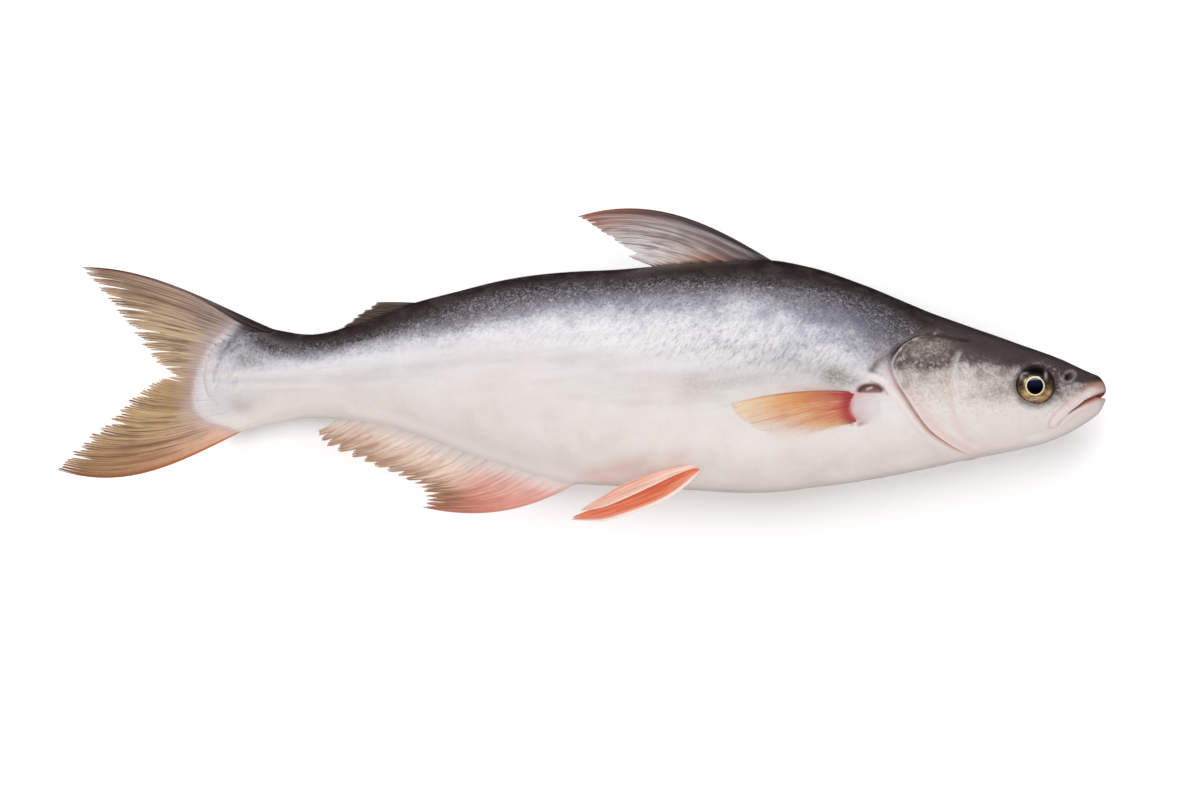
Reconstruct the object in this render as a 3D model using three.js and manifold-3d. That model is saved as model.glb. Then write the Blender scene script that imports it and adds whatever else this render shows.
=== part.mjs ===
// A whole raw pangasius, a large scaleless catfish, lying on its left flank with the right flank up.
// The fish is one piece of flesh, skin and fins, so it is one solid. The eyeballs sit in their own sockets.
//
// The fish is drawn straight first: "at" is the distance behind the snout, "rise" the height over the
// body's axis towards the back, and "out" the distance from the middle plane towards the right flank.
// settle() then lays it on the table, turned a little so that the belly looks up and its tail sagging.
// On the table +X runs from tail to snout, +Y from belly to back, and +Z is up.

import * as THREE from "three";
import { mergeVertices } from "three/addons/utils/BufferGeometryUtils.js";
import Module from "manifold-3d";

// Driving dimensions, in millimetres.
const TOTAL_LENGTH = 500;
const BODY_LENGTH = 432.5;
const SPINE_HEIGHT = 34.8; // middle plane over the table where the flank rests on it
const TAIL_SPINE_HEIGHT = 3; // middle plane over the table at the tips of the tail
const SAG_START = 190; // the limp tail starts to sink towards the table here
const SAG_POWER = 1.4;
const ROLL = 8; // degrees by which the trunk is turned belly up, less and less along the tail
const ROLL_FADES = [190, 400];
const SNOUT_ROUNDING = 4.5;
const AXIS_SHIFT = -7.7; // from the body's axis to the middle of the whole outline, fins included
const LEAST_WEB = 0.5; // half the thickness of the thinnest fin edge
const SLIVER = 0.02; // slivers that the joins leave are merged when they are flatter than this

// How finely each surface is divided.
const HEAD_RINGS = 22;
const SNOUT_CROWDING = 1.35;
const TRUNK_RINGS = 36;
const RING_SIDES = 36;

const radians = THREE.MathUtils.degToRad;
const { clamp, lerp, smoothstep } = THREE.MathUtils;

// A smooth curve through a few knots [x, y], with x rising. It never overshoots between two knots.
function curveThrough(knots) {
  const slopes = knots.slice(1).map(([x, y], i) => (y - knots[i][1]) / (x - knots[i][0]));
  const tangents = knots.map((_, i) => {
    const before = slopes[Math.max(i - 1, 0)];
    const after = slopes[Math.min(i, slopes.length - 1)];
    return before * after <= 0 ? 0 : (2 * before * after) / (before + after);
  });
  return (x) => {
    const last = knots.length - 1;
    if (x <= knots[0][0]) return knots[0][1];
    if (x >= knots[last][0]) return knots[last][1];
    const i = knots.findIndex(([knot]) => knot > x) - 1;
    const span = knots[i + 1][0] - knots[i][0];
    const t = (x - knots[i][0]) / span;
    const fromStart = 1 - t;
    return (
      knots[i][1] * (1 + 2 * t) * fromStart ** 2 +
      tangents[i] * span * t * fromStart ** 2 +
      knots[i + 1][1] * t ** 2 * (3 - 2 * t) -
      tangents[i + 1] * span * t ** 2 * fromStart
    );
  };
}

// A line through points [at, rise] or [at, rise, out], read by the share of its knots from 0 to 1.
function lineThrough(points) {
  const share = (i) => i / (points.length - 1);
  const axes = points[0].map((_, axis) => curveThrough(points.map((p, i) => [share(i), p[axis]])));
  return (t) => axes.map((axis) => axis(t));
}

// Outline of the body: the back, the belly and half the width, against the distance behind the snout.
const backLine = curveThrough([
  [0, 0.2], [9, 3], [22, 9.3], [46, 18.3], [82, 30.6], [118, 45.6], [142, 53.6], [164, 57.4],
  [194, 56.3], [232, 53.4], [262, 51.4], [285, 48.5], [309, 42.8], [333, 36.2], [357, 27],
  [381, 21.8], [396, 23.2], [412, 26.6], [422, 23.6], [429, 14], [BODY_LENGTH, 3.4],
]);
const bellyLine = curveThrough([
  [0, -12.6], [6.5, -18.2], [19, -25.8], [33, -31.1], [61, -36.8], [98, -44.9], [125, -49.5],
  [156, -53.2], [171, -54], [194, -52.9], [247, -50], [258, -49.1], [287, -42.4], [313, -33.4],
  [326, -27.9], [349, -20.6], [368, -18.2], [381, -18.2], [400, -21], [412, -24], [422, -21.5],
  [429, -12], [BODY_LENGTH, -0.6],
]);
const halfWidth = curveThrough([
  [0, 9], [6, 13], [14, 17], [24, 20.5], [34, 23.2], [46, 26], [70, 30.2], [94, 33.4], [118, 35.6],
  [142, 36.9], [165, 37.3], [194, 36.9], [215, 35.9], [232, 34.4], [262, 30.3], [297, 24.4],
  [333, 18.7], [357, 15], [381, 11.6], [400, 8], [415, 4.6], [426, 2.6], [BODY_LENGTH, 1.4],
]);

// How square a cross-section is over and under its widest level. Two gives an ellipse.
const upperFullness = curveThrough([[0, 2.3], [60, 2.5], [110, 2.1], [160, 1.85], [260, 1.9], [400, 2]]);
const lowerFullness = curveThrough([[0, 2], [60, 2.15], [160, 2.3], [260, 2.1], [400, 2]]);

// The rear edge of the gill cover, by the angle round the body in degrees from the back.
const gillEdge = curveThrough([
  [0, 80], [40, 80.5], [55, 84.3], [61, 91.5], [70.5, 98.7], [83, 103.4], [89, 101.5], [98.5, 96.3],
  [109, 91.5], [124, 84.8], [139, 76.4], [158, 67.1], [180, 60],
]);
const GILL_TOP = 48; // degrees from the back at which the gill opening starts
const GILL_FLAP = 1.7; // how far the cover's edge stands over the skin behind it
const GILL_FLAP_REACH = 22;
const GILL_STEP = 0.9; // the distance along the body in which the skin drops from the cover's edge
const CHEEK_LINE_DEPTH = 0.7;
const CHEEK_LINE_WIDTH = 2.2;

// The crease down the cheek in front of the gill cover, given as its distance behind the snout.
const cheekLine = curveThrough([[-30, 52], [-27, 61.4], [-20, 69], [-13, 72.6], [0.5, 73.6], [13, 71.7]]);

// The line of the mouth on the side of the head, and how far the lips swell on both sides of it.
const mouthLine = curveThrough([[0, -6.7], [4, -8.6], [10, -11.5], [18.5, -15.8], [24, -19]]);
const LIP_SWELL = 0.9;
const LIP_BREADTH = 3.4;

// A cross-section: its widest level and its reach over, under and beside that level.
function sectionAt(at) {
  const nose = Math.sqrt(1 - clamp(1 - at / SNOUT_ROUNDING, 0, 1) ** 2);
  const top = backLine(at);
  const bottom = bellyLine(at);
  const level = lerp(bottom, top, 0.48);
  return {
    level,
    over: (top - level) * nose,
    under: (level - bottom) * nose,
    side: halfWidth(at) * nose,
  };
}

const rollAt = (at) => radians(ROLL * (1 - smoothstep(at, ...ROLL_FADES)));

// Turns a point of the straight fish together with its body.
function rolled([at, rise, out]) {
  const [cos, sin] = [Math.cos(rollAt(at)), Math.sin(rollAt(at))];
  return [at, rise * cos + out * sin, out * cos - rise * sin];
}

// The point of the straight fish that shows at a height in the side view of the fish as it lies.
function fromView([at, seen, out]) {
  const roll = rollAt(at);
  return [at, (seen - out * Math.sin(roll)) / Math.cos(roll), out];
}

// Small raised and sunken forms of the skin, by the place in the side view and the angle round the body.
function reliefAt(at, seen, angle) {
  const behind = at - gillEdge(angle);
  const open = smoothstep(angle, GILL_TOP, GILL_TOP + 12) * (1 - smoothstep(angle, 140, 178));
  const flap = behind <= 0 ? GILL_FLAP * Math.exp(behind / GILL_FLAP_REACH) : 0;
  const groove = behind > 0 ? -0.5 * Math.exp(-behind / 4) : 0;
  const crease = Math.exp(-(((at - cheekLine(seen)) / CHEEK_LINE_WIDTH) ** 2));
  const onCheek = smoothstep(seen, -30, -22) * (1 - smoothstep(seen, 8, 15));
  const lip = Math.exp(-(((seen - mouthLine(at)) / LIP_BREADTH) ** 2)) * (1 - smoothstep(at, 16, 27));
  return open * (flap + groove) - CHEEK_LINE_DEPTH * crease * onCheek + LIP_SWELL * lip;
}

// The skin at a distance behind the snout and an angle in degrees from the back, right flank positive.
function skinPoint(at, angle) {
  const { level, over, under, side } = sectionAt(at);
  const turn = radians(Math.abs(angle));
  const upper = Math.cos(turn) >= 0;
  const fullness = 2 / (upper ? upperFullness(at) : lowerFullness(at));
  const reach = upper ? over : under;
  const rise = Math.sign(Math.cos(turn)) * reach * Math.abs(Math.cos(turn)) ** fullness;
  const out = side * Math.max(Math.sin(turn), 0) ** fullness;
  const size = Math.hypot(rise, out);
  const seen = rolled([at, level + rise, out])[1];
  const swell = size > 1 ? 1 + reliefAt(at, seen, Math.abs(angle)) / size : 1;
  return [at, level + rise * swell, Math.sign(angle) * out * swell];
}

// Distance from the middle plane to the smooth flank at a height of the straight fish.
function flankOut(at, rise) {
  const { level, over, under, side } = sectionAt(at);
  const upper = rise > level;
  const fullness = upper ? upperFullness(at) : lowerFullness(at);
  const share = clamp(Math.abs(rise - level) / (upper ? over : under), 0, 1);
  return side * (1 - share ** fullness) ** (1 / fullness);
}

// The point of the smooth right flank that shows at a place in the side view.
function flankPoint(at, seen) {
  let point = [at, seen, 0];
  for (let step = 0; step < 4; step++) {
    point = fromView([at, seen, flankOut(at, point[1])]);
  }
  return point;
}

// Lays a point of the straight fish on the table.
function settle(point) {
  const [at, rise, out] = rolled(point);
  const sag = clamp((at - SAG_START) / (TOTAL_LENGTH - SAG_START), 0, 1) ** SAG_POWER;
  return [TOTAL_LENGTH / 2 - at, rise + AXIS_SHIFT, lerp(SPINE_HEIGHT, TAIL_SPINE_HEIGHT, sag) + out];
}

// A closed geometry from vertices and triangles, with its faces turned outwards.
function closedGeometry(points, triangles) {
  const corner = (i) => new THREE.Vector3(...points[i]);
  let volume = 0;
  for (let i = 0; i < triangles.length; i += 3) {
    const [a, b, c] = [corner(triangles[i]), corner(triangles[i + 1]), corner(triangles[i + 2])];
    volume += a.dot(b.cross(c));
  }
  const index = volume > 0 ? triangles : triangles.toReversed();
  const geometry = new THREE.BufferGeometry();
  geometry.setAttribute("position", new THREE.Float32BufferAttribute(points.flat(), 3));
  return geometry.setIndex(index);
}

// Triangles of a grid of points numbered row by row.
function gridTriangles(rows, columns, number, closed = false) {
  const triangles = [];
  const across = closed ? columns : columns - 1;
  for (let row = 0; row < rows - 1; row++) {
    for (let column = 0; column < across; column++) {
      const next = (column + 1) % columns;
      const [a, b] = [number(row, column), number(row, next)];
      const [c, d] = [number(row + 1, next), number(row + 1, column)];
      triangles.push(a, b, c, a, c, d);
    }
  }
  return triangles;
}

// The body: rings from the snout to the gill cover's edge, then from that edge to the tail's stalk.
function bodyGeometry() {
  const rings = [];
  for (let i = 1; i <= HEAD_RINGS; i++) {
    const share = i / HEAD_RINGS;
    rings.push((edge) => (edge - GILL_STEP / 2) * share ** SNOUT_CROWDING);
  }
  for (let i = 0; i <= TRUNK_RINGS; i++) {
    const share = i / TRUNK_RINGS;
    const eased = share + 0.12 * share * (1 - share) * (2 * share - 1);
    rings.push((edge) => lerp(edge + GILL_STEP / 2, BODY_LENGTH, eased));
  }
  const points = [];
  for (const ring of rings) {
    for (let side = 0; side < RING_SIDES; side++) {
      const angle = (360 * side) / RING_SIDES;
      const signed = angle <= 180 ? angle : angle - 360;
      points.push(settle(skinPoint(ring(gillEdge(Math.abs(signed))), signed)));
    }
  }
  const number = (ring, side) => ring * RING_SIDES + side;
  const triangles = gridTriangles(rings.length, RING_SIDES, number, true);
  const { level } = sectionAt(0);
  const ends = [[0, level, 0], [BODY_LENGTH + 0.6, 1.4, 0]];
  ends.forEach((end, isTail) => {
    points.push(settle(end));
    const pole = points.length - 1;
    const ring = isTail ? rings.length - 1 : 0;
    for (let side = 0; side < RING_SIDES; side++) {
      const pair = [number(ring, side), number(ring, (side + 1) % RING_SIDES)];
      triangles.push(...(isTail ? pair : pair.reverse()), pole);
    }
  });
  return closedGeometry(points, triangles);
}

// A fin is a fan of rays with thin skin between them. Every second column is a ray, and the others are skin.
// place(t, u) gives a point, t from the leading edge to the last ray and u from the root to the ray's tip.
// ragged(i) gives how far short of the tips the web after ray i ends, as a share of its length.
function finGeometry({ rays, steps, place, rayHalf, webHalf, ragged }) {
  const columns = 2 * rays - 1;
  const points = [];
  for (const face of [1, -1]) {
    for (let step = 0; step <= steps; step++) {
      for (let column = 0; column < columns; column++) {
        const isWeb = column % 2 === 1;
        const reach = isWeb ? 1 - ragged((column - 1) / 2) : 1;
        const t = column / (columns - 1);
        const u = (step / steps) * reach;
        const half = lerp(isWeb ? webHalf : rayHalf, LEAST_WEB, u ** 1.5);
        const [at, rise, out] = place(t, u);
        points.push(settle([at, rise, out + face * half]));
      }
    }
  }
  const faceSize = (steps + 1) * columns;
  const front = gridTriangles(steps + 1, columns, (row, column) => row * columns + column);
  const back = gridTriangles(steps + 1, columns, (row, column) => faceSize + row * columns + column);
  const rim = [];
  for (let column = 0; column < columns; column++) rim.push(column);
  for (let row = 1; row <= steps; row++) rim.push(row * columns + columns - 1);
  for (let column = columns - 2; column >= 0; column--) rim.push(steps * columns + column);
  for (let row = steps - 1; row >= 1; row--) rim.push(row * columns);
  const edge = rim.flatMap((here, i) => {
    const next = rim[(i + 1) % rim.length];
    return [here, here + faceSize, next + faceSize, here, next + faceSize, next];
  });
  return closedGeometry(points, [...front, ...back.reverse(), ...edge]);
}

// A fan in the side view: roots and tips are lines of [at, height seen], and bow(t) bends each ray.
// The bend is largest past the middle of the ray when skew is positive.
function fanPlace({ roots, tips, bow, skew = 0, out = () => 0 }) {
  const root = lineThrough(roots);
  const tip = lineThrough(tips);
  return (t, u) => {
    const [fromAt, fromRise] = root(t);
    const [toAt, toRise] = tip(t);
    const length = Math.hypot(toAt - fromAt, toRise - fromRise) || 1;
    const bend = bow(t) * 4 * u * (1 - u) * (1 + skew * (2 * u - 1));
    const at = lerp(fromAt, toAt, u) - (bend * (toRise - fromRise)) / length;
    const seen = lerp(fromRise, toRise, u) + (bend * (toAt - fromAt)) / length;
    return fromView([at, seen, out(t, u)]);
  };
}

// Uneven frayed ends, worked out from the ray's number, so that they are the same each time.
const frayed = (least, most) => (i) => least + (most - least) * Math.abs(Math.sin(7.3 * i + 1.9 * i * i));

const tailUpper = finGeometry({
  rays: 13,
  steps: 5,
  rayHalf: 1.7,
  webHalf: 1,
  ragged: frayed(0.05, 0.16),
  place: fanPlace({
    roots: [[400, 24.5], [407, 22], [414, 16], [421, 10], [424, 1.5]],
    tips: [[489, 53.6], [486.5, 48], [478.5, 38], [468, 26], [458.6, 14.3], [450, 5.4], [436, 2.9]],
    bow: (t) => lerp(5.4, 0.4, t ** 0.8),
    skew: 0.6,
    out: (t, u) => 0.8 * Math.sin(9 * t) * u,
  }),
});
const tailLower = finGeometry({
  rays: 14,
  steps: 5,
  rayHalf: 1.7,
  webHalf: 1,
  ragged: frayed(0.04, 0.15),
  place: fanPlace({
    roots: [[400, -19.5], [409, -18.5], [416, -13], [421, -8], [424, 1]],
    tips: [[500, -43.2], [494.5, -33.5], [484, -23.5], [470.5, -14.4], [461, -5], [450.5, 1.7], [436, 1.6]],
    bow: (t) => lerp(-9, -0.4, t ** 0.8),
    skew: 0.4,
    out: (t, u) => 0.7 * Math.sin(8 * t + 1) * u,
  }),
});
const backFin = finGeometry({
  rays: 8,
  steps: 5,
  rayHalf: 1.5,
  webHalf: 0.9,
  ragged: frayed(0.02, 0.07),
  place: fanPlace({
    roots: [[158, 53], [175, 52], [194, 51], [213, 50]],
    tips: [[252.5, 78.3], [246, 74.3], [237, 68], [230, 62.5], [227.2, 58.4], [219.5, 54.6]],
    bow: (t) => lerp(12.4, 1, t ** 0.7),
    skew: 0.3,
    out: (t, u) => -1.5 * u * u + 0.5 * Math.sin(10 * t) * u,
  }),
});
const fleshyFin = finGeometry({
  rays: 5,
  steps: 3,
  rayHalf: 1.6,
  webHalf: 1.3,
  ragged: () => 0.04,
  place: fanPlace({
    roots: [[330, 34], [343, 29], [358, 22.5]],
    tips: [[333, 36.8], [345, 37], [357, 32.2], [366.8, 24.6]],
    bow: () => 0,
  }),
});
const ventFin = finGeometry({
  rays: 19,
  steps: 4,
  rayHalf: 1.5,
  webHalf: 0.9,
  ragged: frayed(0.06, 0.24),
  place: fanPlace({
    roots: [
      [250, -46.8], [272, -41], [287, -37], [300, -33],
      [313, -28], [326, -22.5], [349, -16], [364, -14],
    ],
    tips: [
      [326.6, -60.4], [325.5, -55.5], [330, -49.5], [339, -44.8],
      [350, -40], [362, -34.7], [373, -29.4], [376.5, -24],
    ],
    bow: (t) => lerp(-8, -1.5, t ** 0.6),
    out: (t, u) => 1.6 * u * u * Math.sin(5 * t + 0.6),
  }),
});

// A breast fin lies along the flank: its root is in the flesh, and its blade follows the skin.
// The one underneath is folded further down, towards the belly, where the fish lies on it.
function breastFin(side, drop) {
  const pivot = new THREE.Vector2(116, -13);
  const swing = (points) =>
    points.map((point) => new THREE.Vector2(...point).rotateAround(pivot, -radians(drop)).toArray());
  const rootDepth = -3;
  const bladeLift = 2;
  const blade = fanPlace({
    roots: swing([[112, -6.5], [113, -13.5], [113.5, -20]]),
    tips: swing([
      [180.5, -11.6], [174, -17], [167, -22.4], [160, -26.6],
      [153.5, -28.2], [146, -27.4], [136, -24.5], [125.5, -21.6],
    ]),
    bow: (t) => lerp(3.2, 0, t),
  });
  return finGeometry({
    rays: 9,
    steps: 5,
    rayHalf: 1.2,
    webHalf: 0.8,
    ragged: frayed(0.03, 0.1),
    place: (t, u) => {
      const seen = rolled(blade(t, u));
      const [at, rise, out] = flankPoint(seen[0], seen[1]);
      return [at, rise, side * (out + lerp(rootDepth, bladeLift, smoothstep(u, 0, 0.25)))];
    },
  });
}

// A belly fin is a narrow folded blade that trails back from the underside of the belly.
function bellyFin({ lead, trail, outs, tilt }) {
  const leading = lineThrough(lead);
  const trailing = lineThrough(trail);
  const out = curveThrough(outs);
  const lean = radians(tilt);
  return finGeometry({
    rays: 5,
    steps: 7,
    rayHalf: 1.3,
    webHalf: 0.9,
    ragged: frayed(0.02, 0.05),
    place: (t, u) => {
      const [fromAt, fromRise] = leading(u);
      const [toAt, toRise] = trailing(u);
      const spread = Math.hypot(toAt - fromAt, toRise - fromRise);
      const fold = 1.2 * Math.sin(Math.PI * t);
      const height = out(u) + t * spread * Math.tan(lean) + fold;
      return fromView([lerp(fromAt, toAt, t), lerp(fromRise, toRise, t), height]);
    },
  });
}
const bellyFinRight = bellyFin({
  lead: [[190, -37], [208, -47.6], [227, -54.3], [240, -60], [252.5, -62.6]],
  trail: [[196, -33.5], [211, -41], [225, -47.2], [238, -53.4], [251.5, -61.2]],
  outs: [[0, 17], [0.2, 22], [0.6, 11], [1, 2]],
  tilt: 12,
});
const bellyFinLeft = bellyFin({
  lead: [[190, -39.5], [201, -50.5], [222, -61.8], [239, -66.8], [256.8, -66.9]],
  trail: [[194, -36], [210, -46.5], [228, -54.6], [243, -61.4], [255.8, -65.6]],
  outs: [[0, 13], [0.2, 14], [0.6, 3], [1, -7]],
  tilt: -10,
});

// An eyeball is a flattened ball that looks outwards and a little up, set in a socket with a thin gap.
const EYE = { at: 34.4, seen: -2.4, halfLong: 9.4, halfTall: 9.2, halfDeep: 6.4, depth: 2.7, lookUp: 8 };
const SOCKET_GAP = 0.35;

function eyeGeometry(side, gap = 0) {
  const ball = new THREE.SphereGeometry(1, 20, 14);
  ball.scale(EYE.halfLong + gap, EYE.halfTall + gap, EYE.halfDeep + gap);
  ball.rotateX(-side * radians(EYE.lookUp) - rollAt(EYE.at));
  const [at, rise, out] = flankPoint(EYE.at, EYE.seen);
  return ball.translate(...settle([at, rise, side * (out - EYE.depth)]));
}

// The mouth is a slit across the snout that slopes down towards the corners of the jaw.
function mouthGeometry() {
  const outline = new THREE.Shape(
    [
      [-6, -2.2], [4, -8.6], [10, -12.4], [19, -18], [19, -18.8], [10, -13.6], [4, -10.4], [-6, -6.2],
    ].map(([at, rise]) => new THREE.Vector2(TOTAL_LENGTH / 2 - at, rise)),
  );
  const breadth = 60;
  const slit = new THREE.ExtrudeGeometry(outline, { depth: breadth, bevelEnabled: false });
  return slit
    .translate(0, 0, -breadth / 2)
    .rotateX(-radians(ROLL))
    .translate(0, AXIS_SHIFT, SPINE_HEIGHT);
}

// The table, whose top is at height zero. The flesh that would reach below it is pressed flat.
function tableGeometry() {
  const thickness = 60;
  return new THREE.BoxGeometry(2 * TOTAL_LENGTH, TOTAL_LENGTH, thickness).translate(0, 0, -thickness / 2);
}

const wasm = await Module();
wasm.setup();

function solidOf(geometry) {
  const bare = geometry.clone();
  bare.deleteAttribute("normal");
  bare.deleteAttribute("uv");
  const merged = mergeVertices(bare, 1e-4);
  const made = new wasm.Manifold(
    new wasm.Mesh({
      numProp: 3,
      vertProperties: new Float32Array(merged.attributes.position.array),
      triVerts: new Uint32Array(merged.index.array),
    }),
  );
  return made;
}

function geometryOf(solid) {
  const { vertProperties, triVerts } = solid.getMesh();
  const geometry = new THREE.BufferGeometry();
  geometry.setAttribute("position", new THREE.BufferAttribute(vertProperties, 3));
  geometry.setIndex(new THREE.BufferAttribute(triVerts, 1));
  geometry.computeVertexNormals();
  return geometry;
}

const grown = [
  tailUpper, tailLower, backFin, fleshyFin, ventFin,
  breastFin(1, 0), breastFin(-1, 24), bellyFinRight, bellyFinLeft,
];
let fishSolid = solidOf(bodyGeometry());
for (const fin of grown) fishSolid = fishSolid.add(solidOf(fin));
for (const side of [1, -1]) fishSolid = fishSolid.subtract(solidOf(eyeGeometry(side, SOCKET_GAP)));
for (const tool of [mouthGeometry(), tableGeometry()]) fishSolid = fishSolid.subtract(solidOf(tool));
fishSolid = fishSolid.simplify(SLIVER);

const skin = new THREE.MeshStandardMaterial({ color: 0xc9c4c6, roughness: 0.35, metalness: 0 });
const cornea = new THREE.MeshStandardMaterial({ color: 0x2a2418, roughness: 0.05, metalness: 0 });

const group = new THREE.Group();
function addPiece(name, geometry, material) {
  const mesh = new THREE.Mesh(geometry, material);
  mesh.name = name;
  group.add(mesh);
}
addPiece("fish", geometryOf(fishSolid), skin);
addPiece("eye_right", eyeGeometry(1), cornea);
addPiece("eye_left", eyeGeometry(-1), cornea);

export default group;
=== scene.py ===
# %% [markdown]
# # A whole raw pangasius
# A pangasius is a large catfish with no scales. This one lies on its left flank, so the camera looks
# straight down on its right flank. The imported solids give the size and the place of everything. This
# script gives them skin, fins and eyes that are fine enough to look at closely.

import bmesh
import bpy
import numpy as np
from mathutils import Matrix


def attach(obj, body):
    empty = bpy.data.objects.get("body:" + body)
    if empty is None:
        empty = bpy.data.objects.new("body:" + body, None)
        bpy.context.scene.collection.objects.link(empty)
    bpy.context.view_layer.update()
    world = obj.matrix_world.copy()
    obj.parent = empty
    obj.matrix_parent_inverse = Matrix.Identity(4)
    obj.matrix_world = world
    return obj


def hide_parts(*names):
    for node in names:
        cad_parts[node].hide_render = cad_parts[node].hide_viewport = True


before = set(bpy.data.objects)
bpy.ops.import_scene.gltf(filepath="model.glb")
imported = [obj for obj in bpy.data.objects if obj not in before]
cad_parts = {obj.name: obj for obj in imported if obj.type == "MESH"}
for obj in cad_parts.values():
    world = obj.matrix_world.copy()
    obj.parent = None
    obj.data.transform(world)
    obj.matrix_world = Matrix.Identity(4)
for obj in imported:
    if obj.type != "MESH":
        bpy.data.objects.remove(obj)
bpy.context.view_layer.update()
print("solids:", sorted(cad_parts))

# %% [markdown]
# ## The fish as a drawing
# The fish is drawn straight before it is laid down. "along" is the distance behind the snout, "rise" is
# the height over the body's axis, and "out" is the distance from the middle plane, all in millimetres.
# The outline is a few measured points with a smooth curve through them. A spline could overshoot between
# two points, so this curve limits its slope at each point.

# %% A smooth curve through a few points
def smooth_curve(knots):
    """A function that gives the curve's height at any place. Its slope is limited at each knot."""
    x, y = np.array(knots, float).T
    slope = np.diff(y) / np.diff(x)
    before, after = np.r_[slope[0], slope], np.r_[slope, slope[-1]]
    same_way = before * after > 0
    tangent = np.where(same_way, 2 * before * after / np.where(same_way, before + after, 1), 0)

    def height(place):
        place = np.clip(place, x[0], x[-1])
        i = np.clip(np.searchsorted(x, place, side="right") - 1, 0, len(x) - 2)
        span = x[i + 1] - x[i]
        t = (place - x[i]) / span
        start = y[i] * (1 + 2 * t) + tangent[i] * span * t
        end = y[i + 1] * (3 - 2 * t) - tangent[i + 1] * span * (1 - t)
        return start * (1 - t) ** 2 + end * t**2

    return height


def smooth_line(points):
    """A function that runs from the first point to the last while its share goes from 0 to 1."""
    shares = np.linspace(0, 1, len(points))
    axes = [smooth_curve(list(zip(shares, axis))) for axis in np.array(points, float).T]
    return lambda t: [axis(t) for axis in axes]


def blend(a, b, t):
    return a + (b - a) * t


def soft_step(value, low, high):
    t = np.clip((value - low) / (high - low), 0, 1)
    return t * t * (3 - 2 * t)


print("halfway to a knot of height 1 a curve is", float(smooth_curve([(0, 0), (1, 1), (2, 0)])(0.5)))

# %% The body's outline and how wide it is
TOTAL_LENGTH = 500
BODY_LENGTH = 432.5

back_line = smooth_curve([
    (0, 0.2), (9, 3.8), (22, 9.7), (46, 18.3), (82, 31.2), (118, 46.4), (142, 54.3), (164, 57.9),
    (194, 56.3), (232, 53.4), (262, 51.4), (285, 48.5), (309, 42.8), (333, 36.2), (357, 27),
    (381, 21.8), (396, 24), (404, 26.2), (412, 27.8), (422, 24), (429, 14), (BODY_LENGTH, 3.4),
])
belly_line = smooth_curve([
    (0, -12.6), (6.5, -18.2), (19, -25.8), (33, -31.1), (61, -36.8), (98, -44.9), (125, -49.5),
    (156, -53.2), (171, -54), (194, -52.9), (247, -50), (258, -49.1), (287, -42.4), (313, -33.4),
    (326, -27.9), (349, -20.6), (368, -18.2), (381, -18.2), (400, -21), (412, -24), (422, -21.5),
    (429, -12), (BODY_LENGTH, -0.6),
])
half_width = smooth_curve([
    (0, 9), (6, 13), (14, 17), (24, 20.5), (34, 23.2), (46, 26), (70, 30.2), (94, 33.4), (118, 35.6),
    (142, 36.9), (165, 37.3), (194, 36.9), (215, 35.9), (232, 34.4), (262, 30.3), (297, 24.4),
    (333, 18.7), (357, 15), (381, 11.6), (400, 8), (415, 4.6), (426, 2.6), (BODY_LENGTH, 1.4),
])
upper_fullness = smooth_curve([(0, 2.3), (60, 2.5), (110, 2.1), (160, 1.85), (260, 1.9), (400, 2)])
lower_fullness = smooth_curve([(0, 2), (60, 2.15), (160, 2.3), (245, 2.05), (300, 1.65), (365, 1.65),
                               (405, 2)])
print("tallest section:", round(float(back_line(164) - belly_line(171)), 1), "mm")

# %% [markdown]
# ## One cross-section, and how the fish lies
# A cut through the body is close to an ellipse, but a power other than two makes it fuller or leaner.
# The trunk is turned by eight degrees so that the belly looks up a little, as in the photo, and the limp
# tail sags to the table. Flesh that would go under the table is pressed flat.

# %% Cross-sections
SNOUT_ROUNDING = 4.5
AXIS_SHARE = 0.48


def section(along):
    """The level where a section is widest, how far it reaches over and under it, and half its width."""
    nose = np.sqrt(1 - np.clip(1 - along / SNOUT_ROUNDING, 0, 1) ** 2)
    top, bottom = back_line(along), belly_line(along)
    level = blend(bottom, top, AXIS_SHARE)
    return level, (top - level) * nose, (level - bottom) * nose, half_width(along) * nose


def skin_at(along, angle):
    """Rise and out of the plain skin. The angle is 0 on the ridge of the back and 180 on the belly."""
    level, over, under, side = section(along)
    turn = np.radians(np.abs(angle))
    upper = np.cos(turn) >= 0
    power = 2 / np.where(upper, upper_fullness(along), lower_fullness(along))
    reach = np.where(upper, over, under)
    rise = level + np.sign(np.cos(turn)) * reach * np.abs(np.cos(turn)) ** power
    out = side * np.maximum(np.sin(turn), 0) ** power
    return rise, np.sign(angle) * out


print("widest section:", round(2 * float(half_width(165)), 1), "mm")

# %% Laying the fish down
ROLL = np.radians(8)
SPINE_HEIGHT, TAIL_SPINE_HEIGHT = 34.8, 3
AXIS_SHIFT = -7.7
TAIL_START, TAIL_END = 190, 400
SAG_POWER = 1.4
PRESSED_BELOW, PRESS_SOFTNESS = 3, 0.6


def roll_at(along):
    return ROLL * (1 - soft_step(along, TAIL_START, TAIL_END))


def rolled(along, rise, out):
    """How high a point shows in the photo, and how far it is in front of the axis."""
    cos, sin = np.cos(roll_at(along)), np.sin(roll_at(along))
    return rise * cos + out * sin, out * cos - rise * sin


def from_view(along, seen, out):
    """The rise of a point that shows at a given height."""
    return (seen - out * np.sin(roll_at(along))) / np.cos(roll_at(along))


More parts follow.
